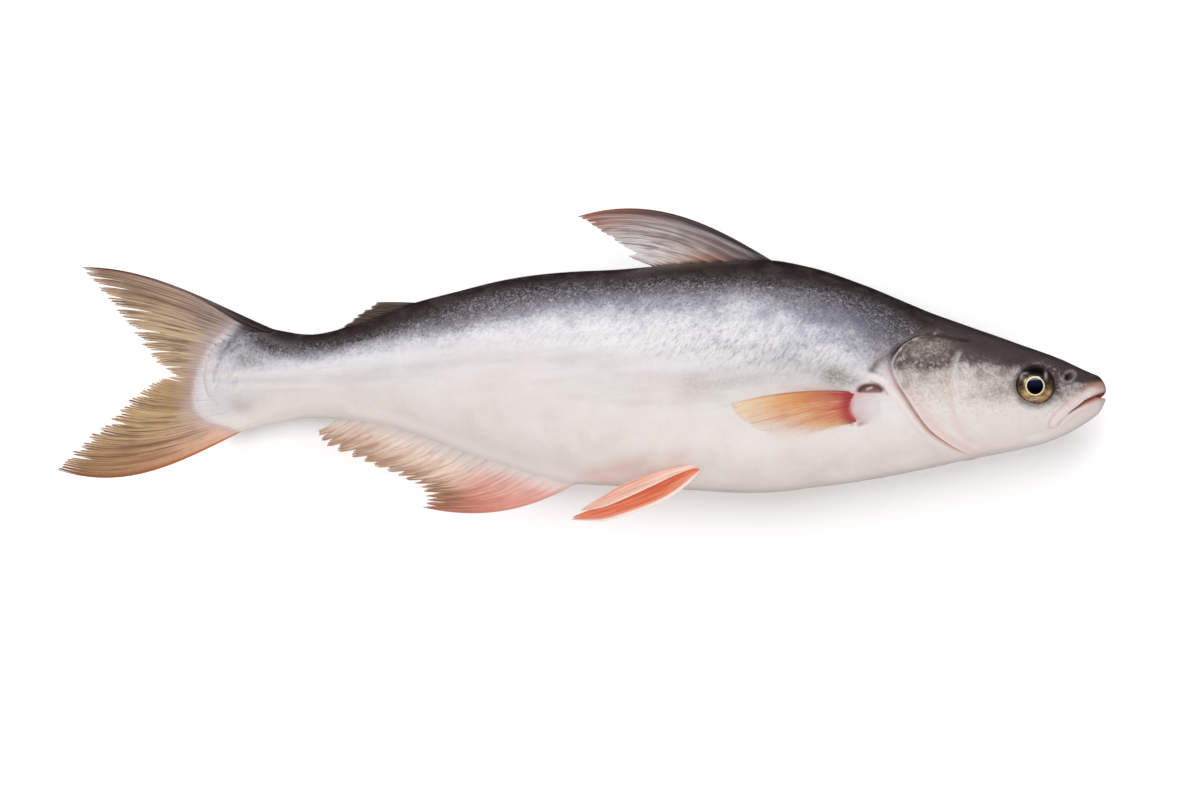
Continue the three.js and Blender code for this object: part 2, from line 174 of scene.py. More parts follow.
def settle(along, rise, out):
    """Where a point of the straight fish is in the scene, in metres."""
    seen, depth = rolled(along, rise, out)
    sag = np.clip((along - TAIL_START) / (TOTAL_LENGTH - TAIL_START), 0, 1) ** SAG_POWER
    height = blend(SPINE_HEIGHT, TAIL_SPINE_HEIGHT, sag) + depth
    low = np.minimum(height, PRESSED_BELOW)
    pressed = np.log1p(np.exp(low / PRESS_SOFTNESS)) * PRESS_SOFTNESS
    pressed = np.where(height > PRESSED_BELOW, height, pressed)
    return np.stack([TOTAL_LENGTH / 2 - along, seen + AXIS_SHIFT, pressed], -1) / 1000


print("the snout lies at", settle(np.array(0.0), 0, 0).round(3), "m")

# %% Points of the side view on the flank
def flank_out(along, rise):
    level, over, under, side = section(along)
    upper = rise > level
    power = np.where(upper, upper_fullness(along), lower_fullness(along))
    share = np.clip(np.abs(rise - level) / np.where(upper, over, under), 0, 1)
    return side * (1 - share**power) ** (1 / power)


def flank_at(along, seen):
    """Rise and out of the flank at a height of the side view, found in four closer and closer steps."""
    rise = seen
    for _ in range(4):
        out = flank_out(along, rise)
        rise = from_view(along, seen, out)
    return rise, out


print("half width at the breast fin:", round(float(flank_at(116, -13)[1]), 1), "mm")

# %% [markdown]
# ## The skin as one wrapped grid
# The body could be sculpted, or built from a subdivided box. A grid that is wrapped round the body is
# better here, because every point then knows how far behind the snout it is and how high it shows, and
# both the small forms and the colours can be placed by those two numbers. The rings of the grid follow
# the rear edge of the gill cover, and its lines crowd together along the mouth, where the fine forms are.

# %% Where the gill cover ends and where the mouth runs
gill_edge = smooth_curve([
    (0, 80), (40, 80.5), (55, 84.3), (61, 91.5), (70.5, 98.7), (83, 103.4), (89, 101.5), (98.5, 96.3),
    (109, 91.5), (124, 84.8), (139, 76.4), (158, 67.1), (180, 60),
])
mouth_line = smooth_curve([(0, -6.8), (4.3, -8.3), (10.2, -10.8), (13.8, -12.9), (18.5, -15.9),
                           (21, -18.6), (23.5, -21.2)])
print("the mouth starts at a height of", float(mouth_line(0)), "mm")

# %% The grid's rings and columns
HEAD_RINGS, GILL_RINGS, TRUNK_RINGS = 150, 44, 266
COLUMNS = 200
GILL_BAND = 10
GILL_CROWDING = 3


def ring_place(row, angle):
    """How far behind the snout a ring lies at an angle round the body."""
    edge = gill_edge(np.abs(angle))
    head = np.clip(row / HEAD_RINGS, 0, 1) ** 1.3 * (edge - GILL_BAND)
    in_gill = np.clip((row - HEAD_RINGS) / GILL_RINGS, 0, 1)
    gill = edge + GILL_BAND * np.sinh(GILL_CROWDING * (2 * in_gill - 1)) / np.sinh(GILL_CROWDING)
    on_trunk = np.clip((row - HEAD_RINGS - GILL_RINGS) / TRUNK_RINGS, 0, 1)
    trunk = blend(edge + GILL_BAND, BODY_LENGTH, on_trunk**1.2)
    return np.where(row < HEAD_RINGS, head, np.where(in_gill < 1, gill, trunk))


def crowded_angles(row):
    """Angles round the body from belly to belly, closer at the mouth and at the breast fin's pit."""
    fine = np.linspace(0, 180, 361)
    place = float(ring_place(row, 105.0))
    rise, out = skin_at(np.full_like(fine, place), fine)
    seen, _ = rolled(place, rise, out)
    mouth = np.interp(-mouth_line(place), -seen, fine)
    # Points are up to five times as close at the mouth, and three times at the pit.
    crowd = 4 * (1 - soft_step(place, 22, 40)) * np.exp(-(((fine - mouth) / 9) ** 2))
    pit_angle = np.interp(4.5, -seen, fine)
    crowd += 2 * np.exp(-(((place - 113) / 20) ** 2)) * np.exp(-(((fine - pit_angle) / 8) ** 2))
    share = np.r_[0, np.cumsum(1 + (crowd[1:] + crowd[:-1]) / 2)]
    right = np.interp(np.linspace(0, 1, COLUMNS // 2 + 1), share / share[-1], fine)
    return np.concatenate([-right[:0:-1], right])


rows = np.arange(HEAD_RINGS + GILL_RINGS + TRUNK_RINGS + 1)
angles = np.array([crowded_angles(row) for row in rows])
along = ring_place(rows[:, None], angles)
rise, out = skin_at(along, angles)
# The last ring shrinks to one point inside the tail fin.
rise[-1], out[-1] = 1.4, 0
print("grid of the skin:", along.shape)

# %% [markdown]
# ## Small forms of the head and the flank
# Each form is a few millimetres of height that is added along the skin's own normal: the lips on both
# sides of the mouth, the rim of the eye, the nostril, the gill cover with its overlapping edge, and the
# soft lobe that carries the breast fin. A stroke is a line drawn in the side view, 1 on the line and 0
# a few widths away, so one helper makes every groove, ridge and tinted line.

# %% Strokes and spots
seen, _ = rolled(along, rise, np.abs(out))
from_back = np.abs(angles)


def stroke(points, width, steps=24):
    """A soft line in the side view, 1 on the line."""
    a, h = smooth_line(points)(np.linspace(0, 1, steps))
    nearest = np.full(along.shape, 1e9)
    for i in range(steps - 1):
        da, dh = a[i + 1] - a[i], h[i + 1] - h[i]
        t = ((along - a[i]) * da + (seen - h[i]) * dh) / (da * da + dh * dh)
        t = np.clip(t, 0, 1)
        nearest = np.minimum(nearest, np.hypot(along - a[i] - t * da, seen - h[i] - t * dh))
    return np.exp(-((nearest / width) ** 2))


def spot(centre, radii, tilt=0.0):
    """The distance from a spot's centre, 1 at its rim."""
    da, dh = along - centre[0], seen - centre[1]
    cos, sin = np.cos(np.radians(tilt)), np.sin(np.radians(tilt))
    return np.hypot((da * cos + dh * sin) / radii[0], (dh * cos - da * sin) / radii[1])


def glow(distance, softness=1.0):
    """1 at no distance, and close to 0 beyond twice the softness."""
    return np.exp(-((distance / softness) ** 2))


def soft_spots(*spots):
    """The sum of soft spots, each given as its share, centre, radii and tilt."""
    return sum(share * glow(spot(centre, radii, tilt)) for share, centre, radii, tilt in spots)


print("a spot glows", round(float(glow(1.0)), 2), "at its rim")

# %% The eye's rim and the nostril
EYE_PLACE = (34.5, -2.3)
EYE_RADII = (9.4, 9.1)
from_eye = spot(EYE_PLACE, EYE_RADII)
lid = glow(from_eye - 1.06, 0.06)
socket = 1 - soft_step(from_eye, 0.86, 1.02)
nostril = spot((18.3, 1.6), (1.9, 1.3), -35)
nostril_hole = glow(nostril, 0.85)
nostril_rim = glow(nostril - 1.7, 0.5)
nostril_tail = stroke([(19.6, 2.4), (21.2, 3.1)], 0.45)
print("points of the grid in the eye sockets:", int((socket > 0.5).sum()))

# %% The mouth and its lips
from_mouth = seen - mouth_line(along)
gape = smooth_curve([(0, 1.9), (4.3, 1.6), (10.2, 1.1), (14, 0.55), (18.5, 0.25)])(along)
slit = glow(from_mouth, gape) * (1 - soft_step(along, 16.5, 19.5))
upper_lip = stroke([(1.5, -4.6), (6, -5.6), (11, -8), (15.5, -11.4), (20, -15.4), (24.6, -19.8)], 2.3)
lower_lip = glow(from_mouth + 1.9, 1.3) * (1 - soft_step(along, 17, 24))
chin = (1 - soft_step(along, 20, 34)) * soft_step(-from_mouth, 0.2, 1.5)
lip_fold = stroke([(5.2, -2.5), (11.6, -4.2), (16.3, -8.2), (21, -12.2), (24.6, -15.8), (27.5, -19.7),
                   (28, -21.9), (26.4, -23.1)], 0.6)
jaw_fold = stroke([(26.4, -23.1), (24.2, -22.2), (22.4, -19.7)], 0.6)
mouth_corner = stroke([(18.2, -15.6), (21, -18.6), (23.5, -21.2)], 0.5)
wedge = 4.3 * np.clip(1 - (seen + 8.7) / 3.9, 0, 1) * soft_step(seen, -9.1, -8.3)
snout_gap = np.maximum(wedge - along, 0)
lip_top = stroke([(0, -3.2), (4, -1.8), (8, -2.2), (12.5, -4.2)], 1.1)
print("the mouth is open by", round(2 * float(gape.max()), 1), "mm at the snout")

# %% The gill cover, the cheek and the shoulder
behind_gill = along - gill_edge(from_back)
gill_open = soft_step(from_back, 40, 64) * (1 - soft_step(from_back, 150, 179))
cover = np.where(behind_gill < 0, 1.5 * np.exp(np.minimum(behind_gill, 0) / 22), 0)
cover_lip = 0.25 * glow(behind_gill + 0.6, 0.7)
cover_drop = -0.8 * glow(behind_gill - 0.7, 0.6)
gill_skin = 0.45 * glow(behind_gill - 3.8, 1.8)
cheek_line = [(71.7, 12.9), (73.6, 0.5), (72.6, -12.9), (69, -20.3), (61.4, -27), (51.8, -29.4),
              (37.7, -27), (26.5, -24.1)]
cheek_crease = stroke(cheek_line, 1.1)
cheek_ridge = stroke([(a + 2.6, h - 1.6) for a, h in cheek_line[1:7]], 1.6)
cheek_veins = (
    stroke([(70.5, 12.5), (72.5, 7), (71.6, 2), (73, -3)], 0.45)
    + 0.8 * stroke([(73.4, 11), (75, 5.5), (74.6, 0.5), (75.4, -5)], 0.4)
    + 0.6 * stroke([(68, 9.6), (68.8, 5.4), (70.4, 1.6)], 0.4)
)
gill_pocket = stroke([(86, 21.4), (80, 20.6), (73, 19.4), (66, 18.6)], 0.9)
groove_line = [(82, 22.4), (88, 21.8), (93, 19), (97.6, 16), (103.7, 11.6), (109, 8.6), (112.4, 5)]
shoulder_groove = stroke(groove_line, 1.9)
shoulder_fold = stroke([(113, 1.6), (108, -0.6), (103.4, -5.6), (99.4, -10.4), (94.4, -17),
                        (88, -25)], 1.4)
fold_lines = stroke([(113.4, -0.4), (108.4, -2.8), (104.6, -7)], 0.4)
fold_lines += stroke([(111, 3.6), (106, 1.4)], 0.4)
print("the gill cover ends", round(float(gill_edge(83)), 1), "mm behind the snout")

# %% The lobe of the breast fin and the pit above it
LOBE_CENTRE, LOBE_RADIUS = (116.2, -13.1), 7.8
from_lobe = spot(LOBE_CENTRE, (LOBE_RADIUS, LOBE_RADIUS))
lobe = np.clip(1 - from_lobe**2, 0, 1) ** 0.8
on_fin_side = soft_step(along, 111, 119)
lobe_crease = glow(from_lobe - 1.03, 0.13) * on_fin_side
lobe_skin = (1 - soft_step(from_lobe, 0.4, 1.0)) * (0.25 + 0.75 * on_fin_side)
lobe_red = glow(from_lobe - 1.0, 0.26) * soft_step(along, 114, 120)
lobe_red *= soft_step(-seen, 5.6, 8) * soft_step(seen, -20.6, -18)
under_lobe = stroke([(123.6, -20.6), (118.6, -21.2), (113.6, -20.6)], 0.45)
# The pit is a hollow: its dark inside is painted shade over the red of wet flesh, and pit_glint is a
# painted highlight in it.
from_pit = spot((113.2, -5.2), (6.7, 3.9), -3)
pit = (1 - soft_step(from_pit, 0.7, 1.05)) * soft_step(seen, -6.6, -5.2)
pit_brow = glow(from_pit - 1.3, 0.18) * soft_step(seen, -6.4, -4.4)
# A thin dark line along the breast fin's upper edge: painted shade in the gap between fin and flank.
fin_edge_shade = stroke([(119.4, -5.6), (128, -4.7), (140, -4.4), (152, -5.2)], 0.55)
pit_glint = stroke([(112.4, -3.4), (114.6, -4.3)], 0.5)
fin_spine = stroke([(106.4, -6.2), (112, -6.6), (119, -6.6), (124, -6.2)], 0.7)
# The fold under the lobe is raised a little, and its pale line is a painted highlight.
lobe_fold_glint = stroke([(122, -22.4), (118, -23), (112.6, -22.2)], 0.8)
print("the lobe of the breast fin is", 2 * LOBE_RADIUS, "mm wide")

# %% The trunk: the side line, the vent, the muscle under the fins
side_line = stroke([(116, 12), (146.4, 17), (199, 23.4), (242, 21), (268, 19.6), (300, 15.4),
                    (330, 9), (360, 4), (424, 1.6)], 0.5, 40)
vent = stroke([(238, -44), (247, -46)], 1.6)
muscle_line = [(256, -46.5), (272, -43.6), (287, -39), (300, -35), (313, -30), (326, -25), (345, -19),
               (362, -15.5)]
fin_muscle, muscle_skin = stroke(muscle_line, 2.8), stroke(muscle_line, 8)
tail_crease = stroke([(413, 23), (416.9, 19.6), (421.7, 14.3), (424.5, 8.6), (426.3, 2.9), (426, -3),
                      (423, -9)], 0.6)
tail_arc = smooth_curve([(-32, 402), (-24, 416), (-18.6, 429), (-10.6, 434), (-2.7, 433.6), (5.3, 431.3),
                         (15.9, 426), (25.2, 416.7), (34, 403)])
tail_ring = glow(along - tail_arc(seen) + 1, 3) * soft_step(along, 408, 418)
tail_ring *= (1 - 0.8 * soft_step(seen, 10, 22)) * (1 - 0.65 * soft_step(-seen, 10, 18))
tail_bands = (
    stroke([(352, 5.6), (385, 3), (424, 1.8)], 1.5) + 0.8 * stroke([(372, -3.4), (421, -4.2)], 1.5)
)
tail_shades = (
    glow(spot((411, 9.4), (9, 3.4), 4)) + 0.12 * stroke([(386, -0.6), (402, -1), (424, -0.8)], 1.6)
    + 0.5 * glow(spot((414.5, -12), (6, 3.6), 20))
)
print("the tail's own skin ends", round(float(tail_arc(0)), 1), "mm behind the snout")

# %% Slow waves in the flesh
def waves(count, long, tall, seed):
    """The mean of a few slow waves. Long and tall are their sizes in millimetres, over two pi."""
    made = np.zeros(along.shape)
    source = np.random.default_rng(seed)
    for _ in range(count):
        phase = source.uniform(0, 2 * np.pi, 2)
        stretch = source.uniform(0.6, 1.5, 2)
        made += (np.sin(along / long * stretch[0] + 0.35 * np.abs(np.radians(angles)) * 6 + phase[0])
                 * np.sin(seen / tall * stretch[1] + phase[1]))
    return made / count


on_trunk = soft_step(along, 112, 150) * (1 - soft_step(along, 395, 425))
flesh = 0.55 * waves(7, 11, 8, 3) * on_trunk + 0.12 * waves(5, 5, 5, 8)
print("the flesh waves by up to", round(float(np.abs(flesh).max()), 2), "mm")

# %% All the small forms together
relief = (
    gill_open * (cover + cover_lip + cover_drop + gill_skin)
    + 0.35 * lid - 3.2 * socket
    - 2.0 * nostril_hole + 0.3 * nostril_rim - 0.7 * nostril_tail
    - 2.4 * slit + 0.6 * upper_lip + 0.6 * lower_lip
    - 0.3 * lip_fold - 0.2 * jaw_fold - 0.3 * mouth_corner
    - 0.5 * cheek_crease + 0.4 * cheek_ridge + 0.12 * cheek_veins
    - 0.35 * gill_pocket - 0.4 * shoulder_groove + 0.5 * shoulder_fold
    + 2.3 * lobe - 0.4 * lobe_crease - 1.8 * pit + 0.5 * pit_brow + 0.35 * lobe_fold_glint
    + 0.3 * fin_spine - 0.2 * fold_lines
    - 0.05 * side_line - 0.4 * vent + 1.3 * fin_muscle - 0.12 * tail_crease + 0.35 * tail_bands
    + flesh
)
# The poles stay plain, because all the lines of the grid meet there.
relief *= soft_step(along, 0.2, 2.5) * (1 - soft_step(along, 428, 432))
print("small forms reach from", round(float(relief.min()), 2), "to", round(float(relief.max()), 2), "mm")

# %% [markdown]
# ## From numbers to a mesh
# The grid operator makes the faces, and the numbers above move its points. Merging the doubles then
# closes the seam along the belly and the poles at the snout and the tail. The masks for the colours
# go into the mesh as attributes, so the finish can read them later.

# %% Pushing the small forms out along the skin's normal
straight = np.stack([along, rise, out], -1)
ring_step = np.gradient(straight, axis=0)
column_step = np.roll(straight[:, :-1], -1, 1) - np.roll(straight[:, :-1], 1, 1)
column_step = np.concatenate([column_step, column_step[:, :1]], 1)
normal = np.cross(column_step, ring_step)
normal /= np.maximum(np.linalg.norm(normal, axis=-1, keepdims=True), 1e-9)
outwards = np.sum(normal[..., 1:] * np.stack([rise - section(along)[0], out], -1), -1, keepdims=True)
normal *= np.where(outwards < 0, -1, 1)
shaped = straight + normal * relief[..., None]
# The first ring shrinks to one point, the tip of the snout.
shaped[0, :] = [0, float(section(0.0)[0]), 0]
shaped[..., 0] += snout_gap
places = settle(shaped[..., 0], shaped[..., 1], shaped[..., 2])
print("points of the skin:", places.shape[0] * places.shape[1])

# %% Helpers for any piece: masks, smooth faces, normals and a place in the scene
MERGE_DISTANCE = 2e-6
SLIVER = 1e-7


def write_masks(mesh, masks):
    for mask, values in masks.items():
        layer = mesh.attributes.new(mask, "FLOAT", "POINT")
        layer.data.foreach_set("value", values.astype(np.float32))


def shade_smooth(mesh):
    mesh.polygons.foreach_set("use_smooth", [True] * len(mesh.polygons))
    mesh.update()


def close_shell(mesh, merge):
    """Turns every face outwards, after its seams and poles are merged if merge says so."""
    bm = bmesh.new()
    bm.from_mesh(mesh)
    if merge:
        bmesh.ops.remove_doubles(bm, verts=bm.verts, dist=MERGE_DISTANCE)
        bmesh.ops.dissolve_degenerate(bm, edges=bm.edges, dist=SLIVER)
    bmesh.ops.recalc_face_normals(bm, faces=bm.faces)
    bm.to_mesh(mesh)
    bm.free()
    shade_smooth(mesh)


def in_scene(name, data):
    made = bpy.data.objects.new(name, data)
    bpy.context.scene.collection.objects.link(made)
    return made


# %% A helper that wraps a grid into a piece
def wrapped_piece(name, places, masks):
    rings, columns = places.shape[0] - 1, places.shape[1] - 1
    bm = bmesh.new()
    bmesh.ops.create_grid(bm, x_segments=rings, y_segments=columns, size=1)
    mesh = bpy.data.meshes.new(name)
    bm.to_mesh(mesh)
    bm.free()
    flat = np.empty(len(mesh.vertices) * 3, np.float32)
    mesh.vertices.foreach_get("co", flat)
    flat = flat.reshape(-1, 3)
    i = np.rint((flat[:, 0] + 1) / 2 * rings).astype(int)
    j = np.rint((flat[:, 1] + 1) / 2 * columns).astype(int)
    mesh.vertices.foreach_set("co", places[i, j].astype(np.float32).ravel())
    write_masks(mesh, {mask: values[i, j] for mask, values in masks.items()})
    close_shell(mesh, merge=True)
    print(name, "has", len(mesh.polygons), "faces")
    return in_scene(name, mesh)


# %% [markdown]
# ## Where the colours go
# A fish is dark above, silver on the flank and white below, which hides it from above and from below.
# One mask, "tone", runs from 0 at the belly to 1 at the ridge of the back. Its levels follow lines along
# the flank, so the dark band narrows at the tail as it does on the real fish. The head has lines of its
# own, because the pattern breaks off at the gill cover. The other masks hold what doesn't follow that
# order: the blue of the shoulder, blood under the skin, pale folds, dark lines, painted highlights and
# painted shade.

# %% Lines of equal tone
trunk_lines = {
    0.3: [(95, -6), (150, -5), (200, -2), (242, 4), (266, 8), (288, 8), (321, 4.5), (350, 1), (380, -1),
          (400, -6), (414, -16)],
    0.5: [(95, 6), (110, 9), (125, 14), (140, 23), (155, 31), (170, 34.6), (210, 32.4), (230, 33),
          (260, 32), (290, 25.6), (320, 20), (350, 15.6), (380, 9.8), (400, 9.4), (414, 12)],
    0.6: [(95, 10), (110, 15), (125, 27.5), (140, 31.8), (155, 37.4), (170, 40.2), (210, 38.8), (230, 38.2),
          (260, 36.2), (290, 30.8), (320, 22.8), (350, 18.8), (380, 12.4), (398, 12.2), (414, 20.5)],
    0.7: [(85, 16), (95, 17.5), (110, 21), (125, 34.5), (140, 40.5), (170, 44), (230, 42.4),
          (260, 40), (290, 35), (320, 26.5), (350, 20.9), (380, 14.2), (398, 13.6), (414, 25)],
    0.8: [(85, 20), (95, 27), (110, 36), (140, 43), (170, 46.4), (230, 46.4), (275, 43.4), (305, 37.4),
          (335, 25.4), (365, 17.4), (398, 15.4), (414, 28.5)],
}
head_lines = {
    0.3: [(0, -9), (20, -14), (43, -13), (60, -13), (90, -12), (104, -9)],
    0.5: [(0, -4.6), (6, -3.6), (14, -6), (20, -8), (27, -8), (43, 0), (60, 4.4), (72, 4.6), (104, 3.6)],
    0.6: [(0, -3.2), (6, -2), (14, -2.6), (20, -3), (27, -0.5), (43, 4.6), (60, 7.6), (72, 7.6),
          (80, 6.2), (104, 4.8)],
    0.7: [(0, -2.4), (6, -1.2), (14, -0.9), (20, -0.2), (27, 2), (43, 6), (60, 8.4), (72, 9.8),
          (80, 10.5), (90, 8.4), (104, 7.6)],
    0.8: [(0, -1.6), (6, -0.2), (14, 0.6), (20, 1.8), (27, 4), (43, 8.5), (60, 11.4), (72, 12.8),
          (90, 21.5), (104, 25)],
}
print("lines on the trunk:", len(trunk_lines), "and on the head:", len(head_lines))

# %% The tone from belly to back
def tone_between(lines, along, seen):
    """The tone at a point of the side view, blended between the lines over and under it."""
    heights = [belly_line(along) - 2, *(smooth_curve(line)(along) for line in lines.values()),
               back_line(along) + 2]
    tones = [0, *lines, 1]
    made = np.zeros(along.shape)
    for low, high, start, end in zip(heights, heights[1:], tones, tones[1:]):
        share = np.clip((seen - low) / np.maximum(high - low, 0.1), 0, 1)
        made = np.where(seen >= low, blend(start, end, share), made)
    return made


TAIL_ROOT = 414


def trunk_tone(along, seen):
    """The tone of the trunk's skin. The tail's fin skin goes on from the tail's root."""
    return tone_between(trunk_lines, np.minimum(along, TAIL_ROOT), seen)


RIDGE_ANGLE, RIDGE_TONE = 20, 0.97
# The border between head and trunk is soft over the nape and sharp along the gill cover.
head_border = blend(14, 0.6, soft_step(from_back, 34, 56))
on_head = 1 - soft_step(behind_gill / head_border, -1, 1) * soft_step(along, 62, 84)
tone = blend(trunk_tone(along, seen), tone_between(head_lines, along, seen), on_head)
tone = np.where(from_back < RIDGE_ANGLE, np.maximum(tone, RIDGE_TONE), tone)
print("tones run from", round(float(tone.min()), 2), "to", round(float(tone.max()), 2))

# %% Blue and grey veils
blue = soft_spots(
    (0.55, (132, 28), (22, 7.5), 9), (0.22, (116, 24), (9, 7), 0), (0.4, (163.6, 31.5), (6, 3.5), 0),
    (0.35, (152, 13), (13, 5), -10), (0.12, (165, 24), (24, 9), 4), (0.18, (151, 23), (11, 7), 0),
    (0.35, (222, 36), (36, 5), 2), (0.1, (285, 30), (30, 5), -14),
)
# The veil is a grey haze over the silver. Mauve and beige are patches of the head, and the mauve ring round
# the eye is painted shade.
veil = 0.3 * shoulder_groove + 0.8 * tail_shades
veil += 0.36 * stroke([(198, -3), (186, -1), (176, 1), (165, 2.4), (150, 4), (132, 5.4)], 6.5)
veil += soft_spots(
    (0.75, (108.6, 8.4), (4.8, 5.4), 30), (1.05, (129.4, 1.2), (7.4, 5.4), 0),
    (0.6, (120, -1.2), (4.4, 3.6), 0), (0.35, (118, 8), (4.6, 4), 0), (0.12, (215, -5), (30, 10), 0),
)
veil += on_head * soft_spots(
    (0.8, (51, -5), (10, 5.5), -8), (0.45, (26, -8), (6, 4), -50), (0.35, (88, -2), (10, 6), 0),
)
mauve = on_head * (stroke([(99, 9.8), (92, 7.8), (85, 6.4), (77, 7.8)], 2.2)
                   + 0.6 * stroke([(74, 9), (66, 9.6), (54, 7.6)], 2)
                   + 0.6 * stroke([(25.4, 3.8), (23.2, 0), (24, -5)], 1.7)
                   + 0.55 * glow(from_eye - 1.14, 0.15) + 0.15 * glow(spot((86, 2.5), (13, 4))))
mauve += 1.15 * shoulder_groove + 0.7 * fold_lines
beige = on_head * glow(spot((86.5, 14), (10, 3.5), -14))
# Crinkle says where the silver skin is finely creased.
crinkle = soft_spots(
    (1, (166, 13), (44, 17), 8), (0.35, (240, 22), (70, 14), -3), (0.4, (421, 3), (13, 20), 0),
)
crinkle = np.clip(crinkle, 0, 1)
print("strongest blue:", round(float(blue.max()), 2), "and veil:", round(float(veil.max()), 2))

# %% Blood under the skin
under_shoulder = gill_open * soft_step(from_back, 80, 96)
on_throat = soft_step(from_back, 146, 158) * (1 - soft_step(from_back, 171, 179))
snout_tip = spot((2.6, -2.4), (4.2, 2))
blood = (
    0.3 * gill_open * glow(behind_gill + 3.6, 2.8) * soft_step(from_back, 86, 104)
    + 0.75 * glow(behind_gill - 1.6, 1.5) * under_shoulder + 0.5 * glow(behind_gill - 0.3, 0.8) * on_throat
    + 0.5 * lip_fold + 0.45 * jaw_fold + 0.4 * mouth_corner + 0.16 * upper_lip + 0.12 * chin
    + 0.4 * glow(from_mouth, 1.5) * (1 - soft_step(along, 14, 21))
    + 0.22 * cheek_ridge + 0.25 * lip_top + 0.8 * glow(snout_tip)
    + 0.6 * glow(from_lobe - 0.74, 0.14) * on_fin_side + 0.9 * under_lobe
    + 0.12 * side_line * soft_step(along, 176, 186) * (1 - soft_step(along, 300, 330))
    + soft_spots((0.4, (229, -41), (12, 4.5), -14), (0.3, (246, -45), (8, 4), 0),
                 (0.4, (141, -4.9), (16, 2.4), 2), (0.25, (205, -37), (9, 3), -20),
                 (0.8, (433, 4), (7, 0.9), 0))
)
# Raw is wet flesh: in the mouth, in the pit and round the root of the breast fin.
raw = 0.6 * lobe_red + 0.95 * slit + 0.75 * pit * (1 - pit_glint) + 0.9 * soft_step(snout_gap, 1.2, 3)
print("strongest blood:", round(float(blood.max()), 2))

# %% Pale folds, dark lines, painted highlights and painted shade
cover_rim = gill_open * glow(behind_gill + 0.5, 0.45) * blend(0.35, 1, soft_step(from_back, 62, 82))
# Pale holds pale folds and skin, and painted highlights: the glint in the pit, the line along the fold
# under the lobe and the soft spot on the belly 194 mm behind the snout.
pale = (
    0.7 * glow(behind_gill - 5.4, 1.6) * gill_open * soft_step(from_back, 74, 96) + 0.7 * cover_rim
    + 0.45 * cheek_crease + 0.5 * cheek_veins + 0.9 * upper_lip * (1 - glow(snout_tip)) + 0.55 * chin
    + 1.1 * shoulder_fold + 0.45 * pit_brow + 0.7 * lobe_fold_glint + pit_glint
    + 0.7 * fin_muscle + 0.45 * muscle_skin + 0.3 * nostril_rim + 0.8 * tail_bands + 0.75 * tail_ring
    + soft_spots((0.35, (300, 3), (42, 12), -4), (0.4, (194, -29), (7, 5), 30),
                 (0.5, (196, -39), (8, 2.2), -30))
)
# Ink holds dark lines, and painted shade: under the gill cover's edge, in the gill pocket, in the pit, in
# the gap along the breast fin's upper edge, in the crease under the lobe, in the nostril, round the eye's
# rim and inside the mouth.
ink = (
    0.26 * gill_open * glow(behind_gill - 0.55, 0.45) * (1 - 0.3 * soft_step(from_back, 96, 125))
    + 0.8 * gill_pocket + (0.66 + 0.4 * glow(from_pit - 0.86, 0.14)) * pit * (1 - pit_glint)
    + 0.15 * lip_top + 0.12 * fin_edge_shade + 0.3 * under_lobe
    + 1.6 * nostril_hole + 0.7 * nostril_tail + 0.6 * lid + 1.0 * socket
    + 0.8 * glow(spot((3.2, 0.9), (4.6, 1.5), -16)) + 0.5 * glow(from_mouth - 0.5 * gape, 0.5) * slit
    + 0.3 * tail_crease * soft_step(seen, -4, 4)
)
# Lilac is the colour of thin skin over a joint.
lilac = lobe_skin + 0.7 * fin_spine
lilac += soft_spots((0.8, (104.6, 4), (2.6, 4.8), -14), (0.5, (434, 0), (3, 2), 0))
print("strongest pale fold:", round(float(pale.max()), 2))

# %% The skin as a piece
masks = {"tone": tone, "head": on_head, "blue": blue, "veil": veil, "mauve": mauve, "blood": blood,
         "pale": pale, "raw": raw, "ink": np.clip(ink, 0, 1), "lilac": lilac, "crinkle": crinkle,
         "beige": beige}
body = wrapped_piece("skin", places, masks)
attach(body, "root")
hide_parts("fish")

# %% [markdown]
# ## Fins
# A fin is a fan of jointed bony rays with thin skin between them. Each ray forks again and again towards
# its tip, which is why the edge looks frayed. One grid per fin is laid over the fan and thickened on each
# ray. Its outer edge is cut back between the branches, by an amount that differs from ray to ray.

# %% Branches and frayed ends
def hashed(number, seed):
    """A share that looks random: a sine stretched so far that only its last digits are left."""
    wave = np.sin(number * 127.1 + seed * 311.7) * 43758.5453
    return wave - np.floor(wave)


def branch_ridge(across, outward, rays):
    """1 on a branch and 0 between two of them, with one branch a ray at the root and four at the tip."""
    ridge = 0.5 + 0.5 * np.cos(2 * np.pi * (across * rays - 0.5))
    for doubling, start in ((2, 0.3), (4, 0.6)):
        finer = 0.5 + 0.5 * np.cos(2 * np.pi * (across * rays * doubling - 0.5))
        ridge = blend(ridge, finer, soft_step(outward, start, start + 0.25))
    return ridge


def frayed_reach(across, rays, notch, slit, fray, seed):
    """The share of its full length that the fin has, at each place across the fan."""
    ray, branch = across * rays, across * rays * 3
    number, border = np.floor(ray), np.rint(ray)
    cut = notch * (0.5 + hashed(number, seed)) * (ray - number) ** 1.6
    cut += slit * np.maximum(hashed(border, seed + 1) - 0.45, 0) * 1.8 * glow(ray - border, 0.1)
    cut += fray * 0.6 * hashed(np.floor(branch), seed + 2)
    cut += fray * 0.6 * np.abs(2 * (branch - np.floor(branch)) - 1) ** 3
    cut *= soft_step(across, 0, 0.5 / rays) * (1 - 0.6 * soft_step(across, 0.95, 1))
    return 1 - cut * blend(0.45, 1, soft_step(across, 0.05, 0.35))


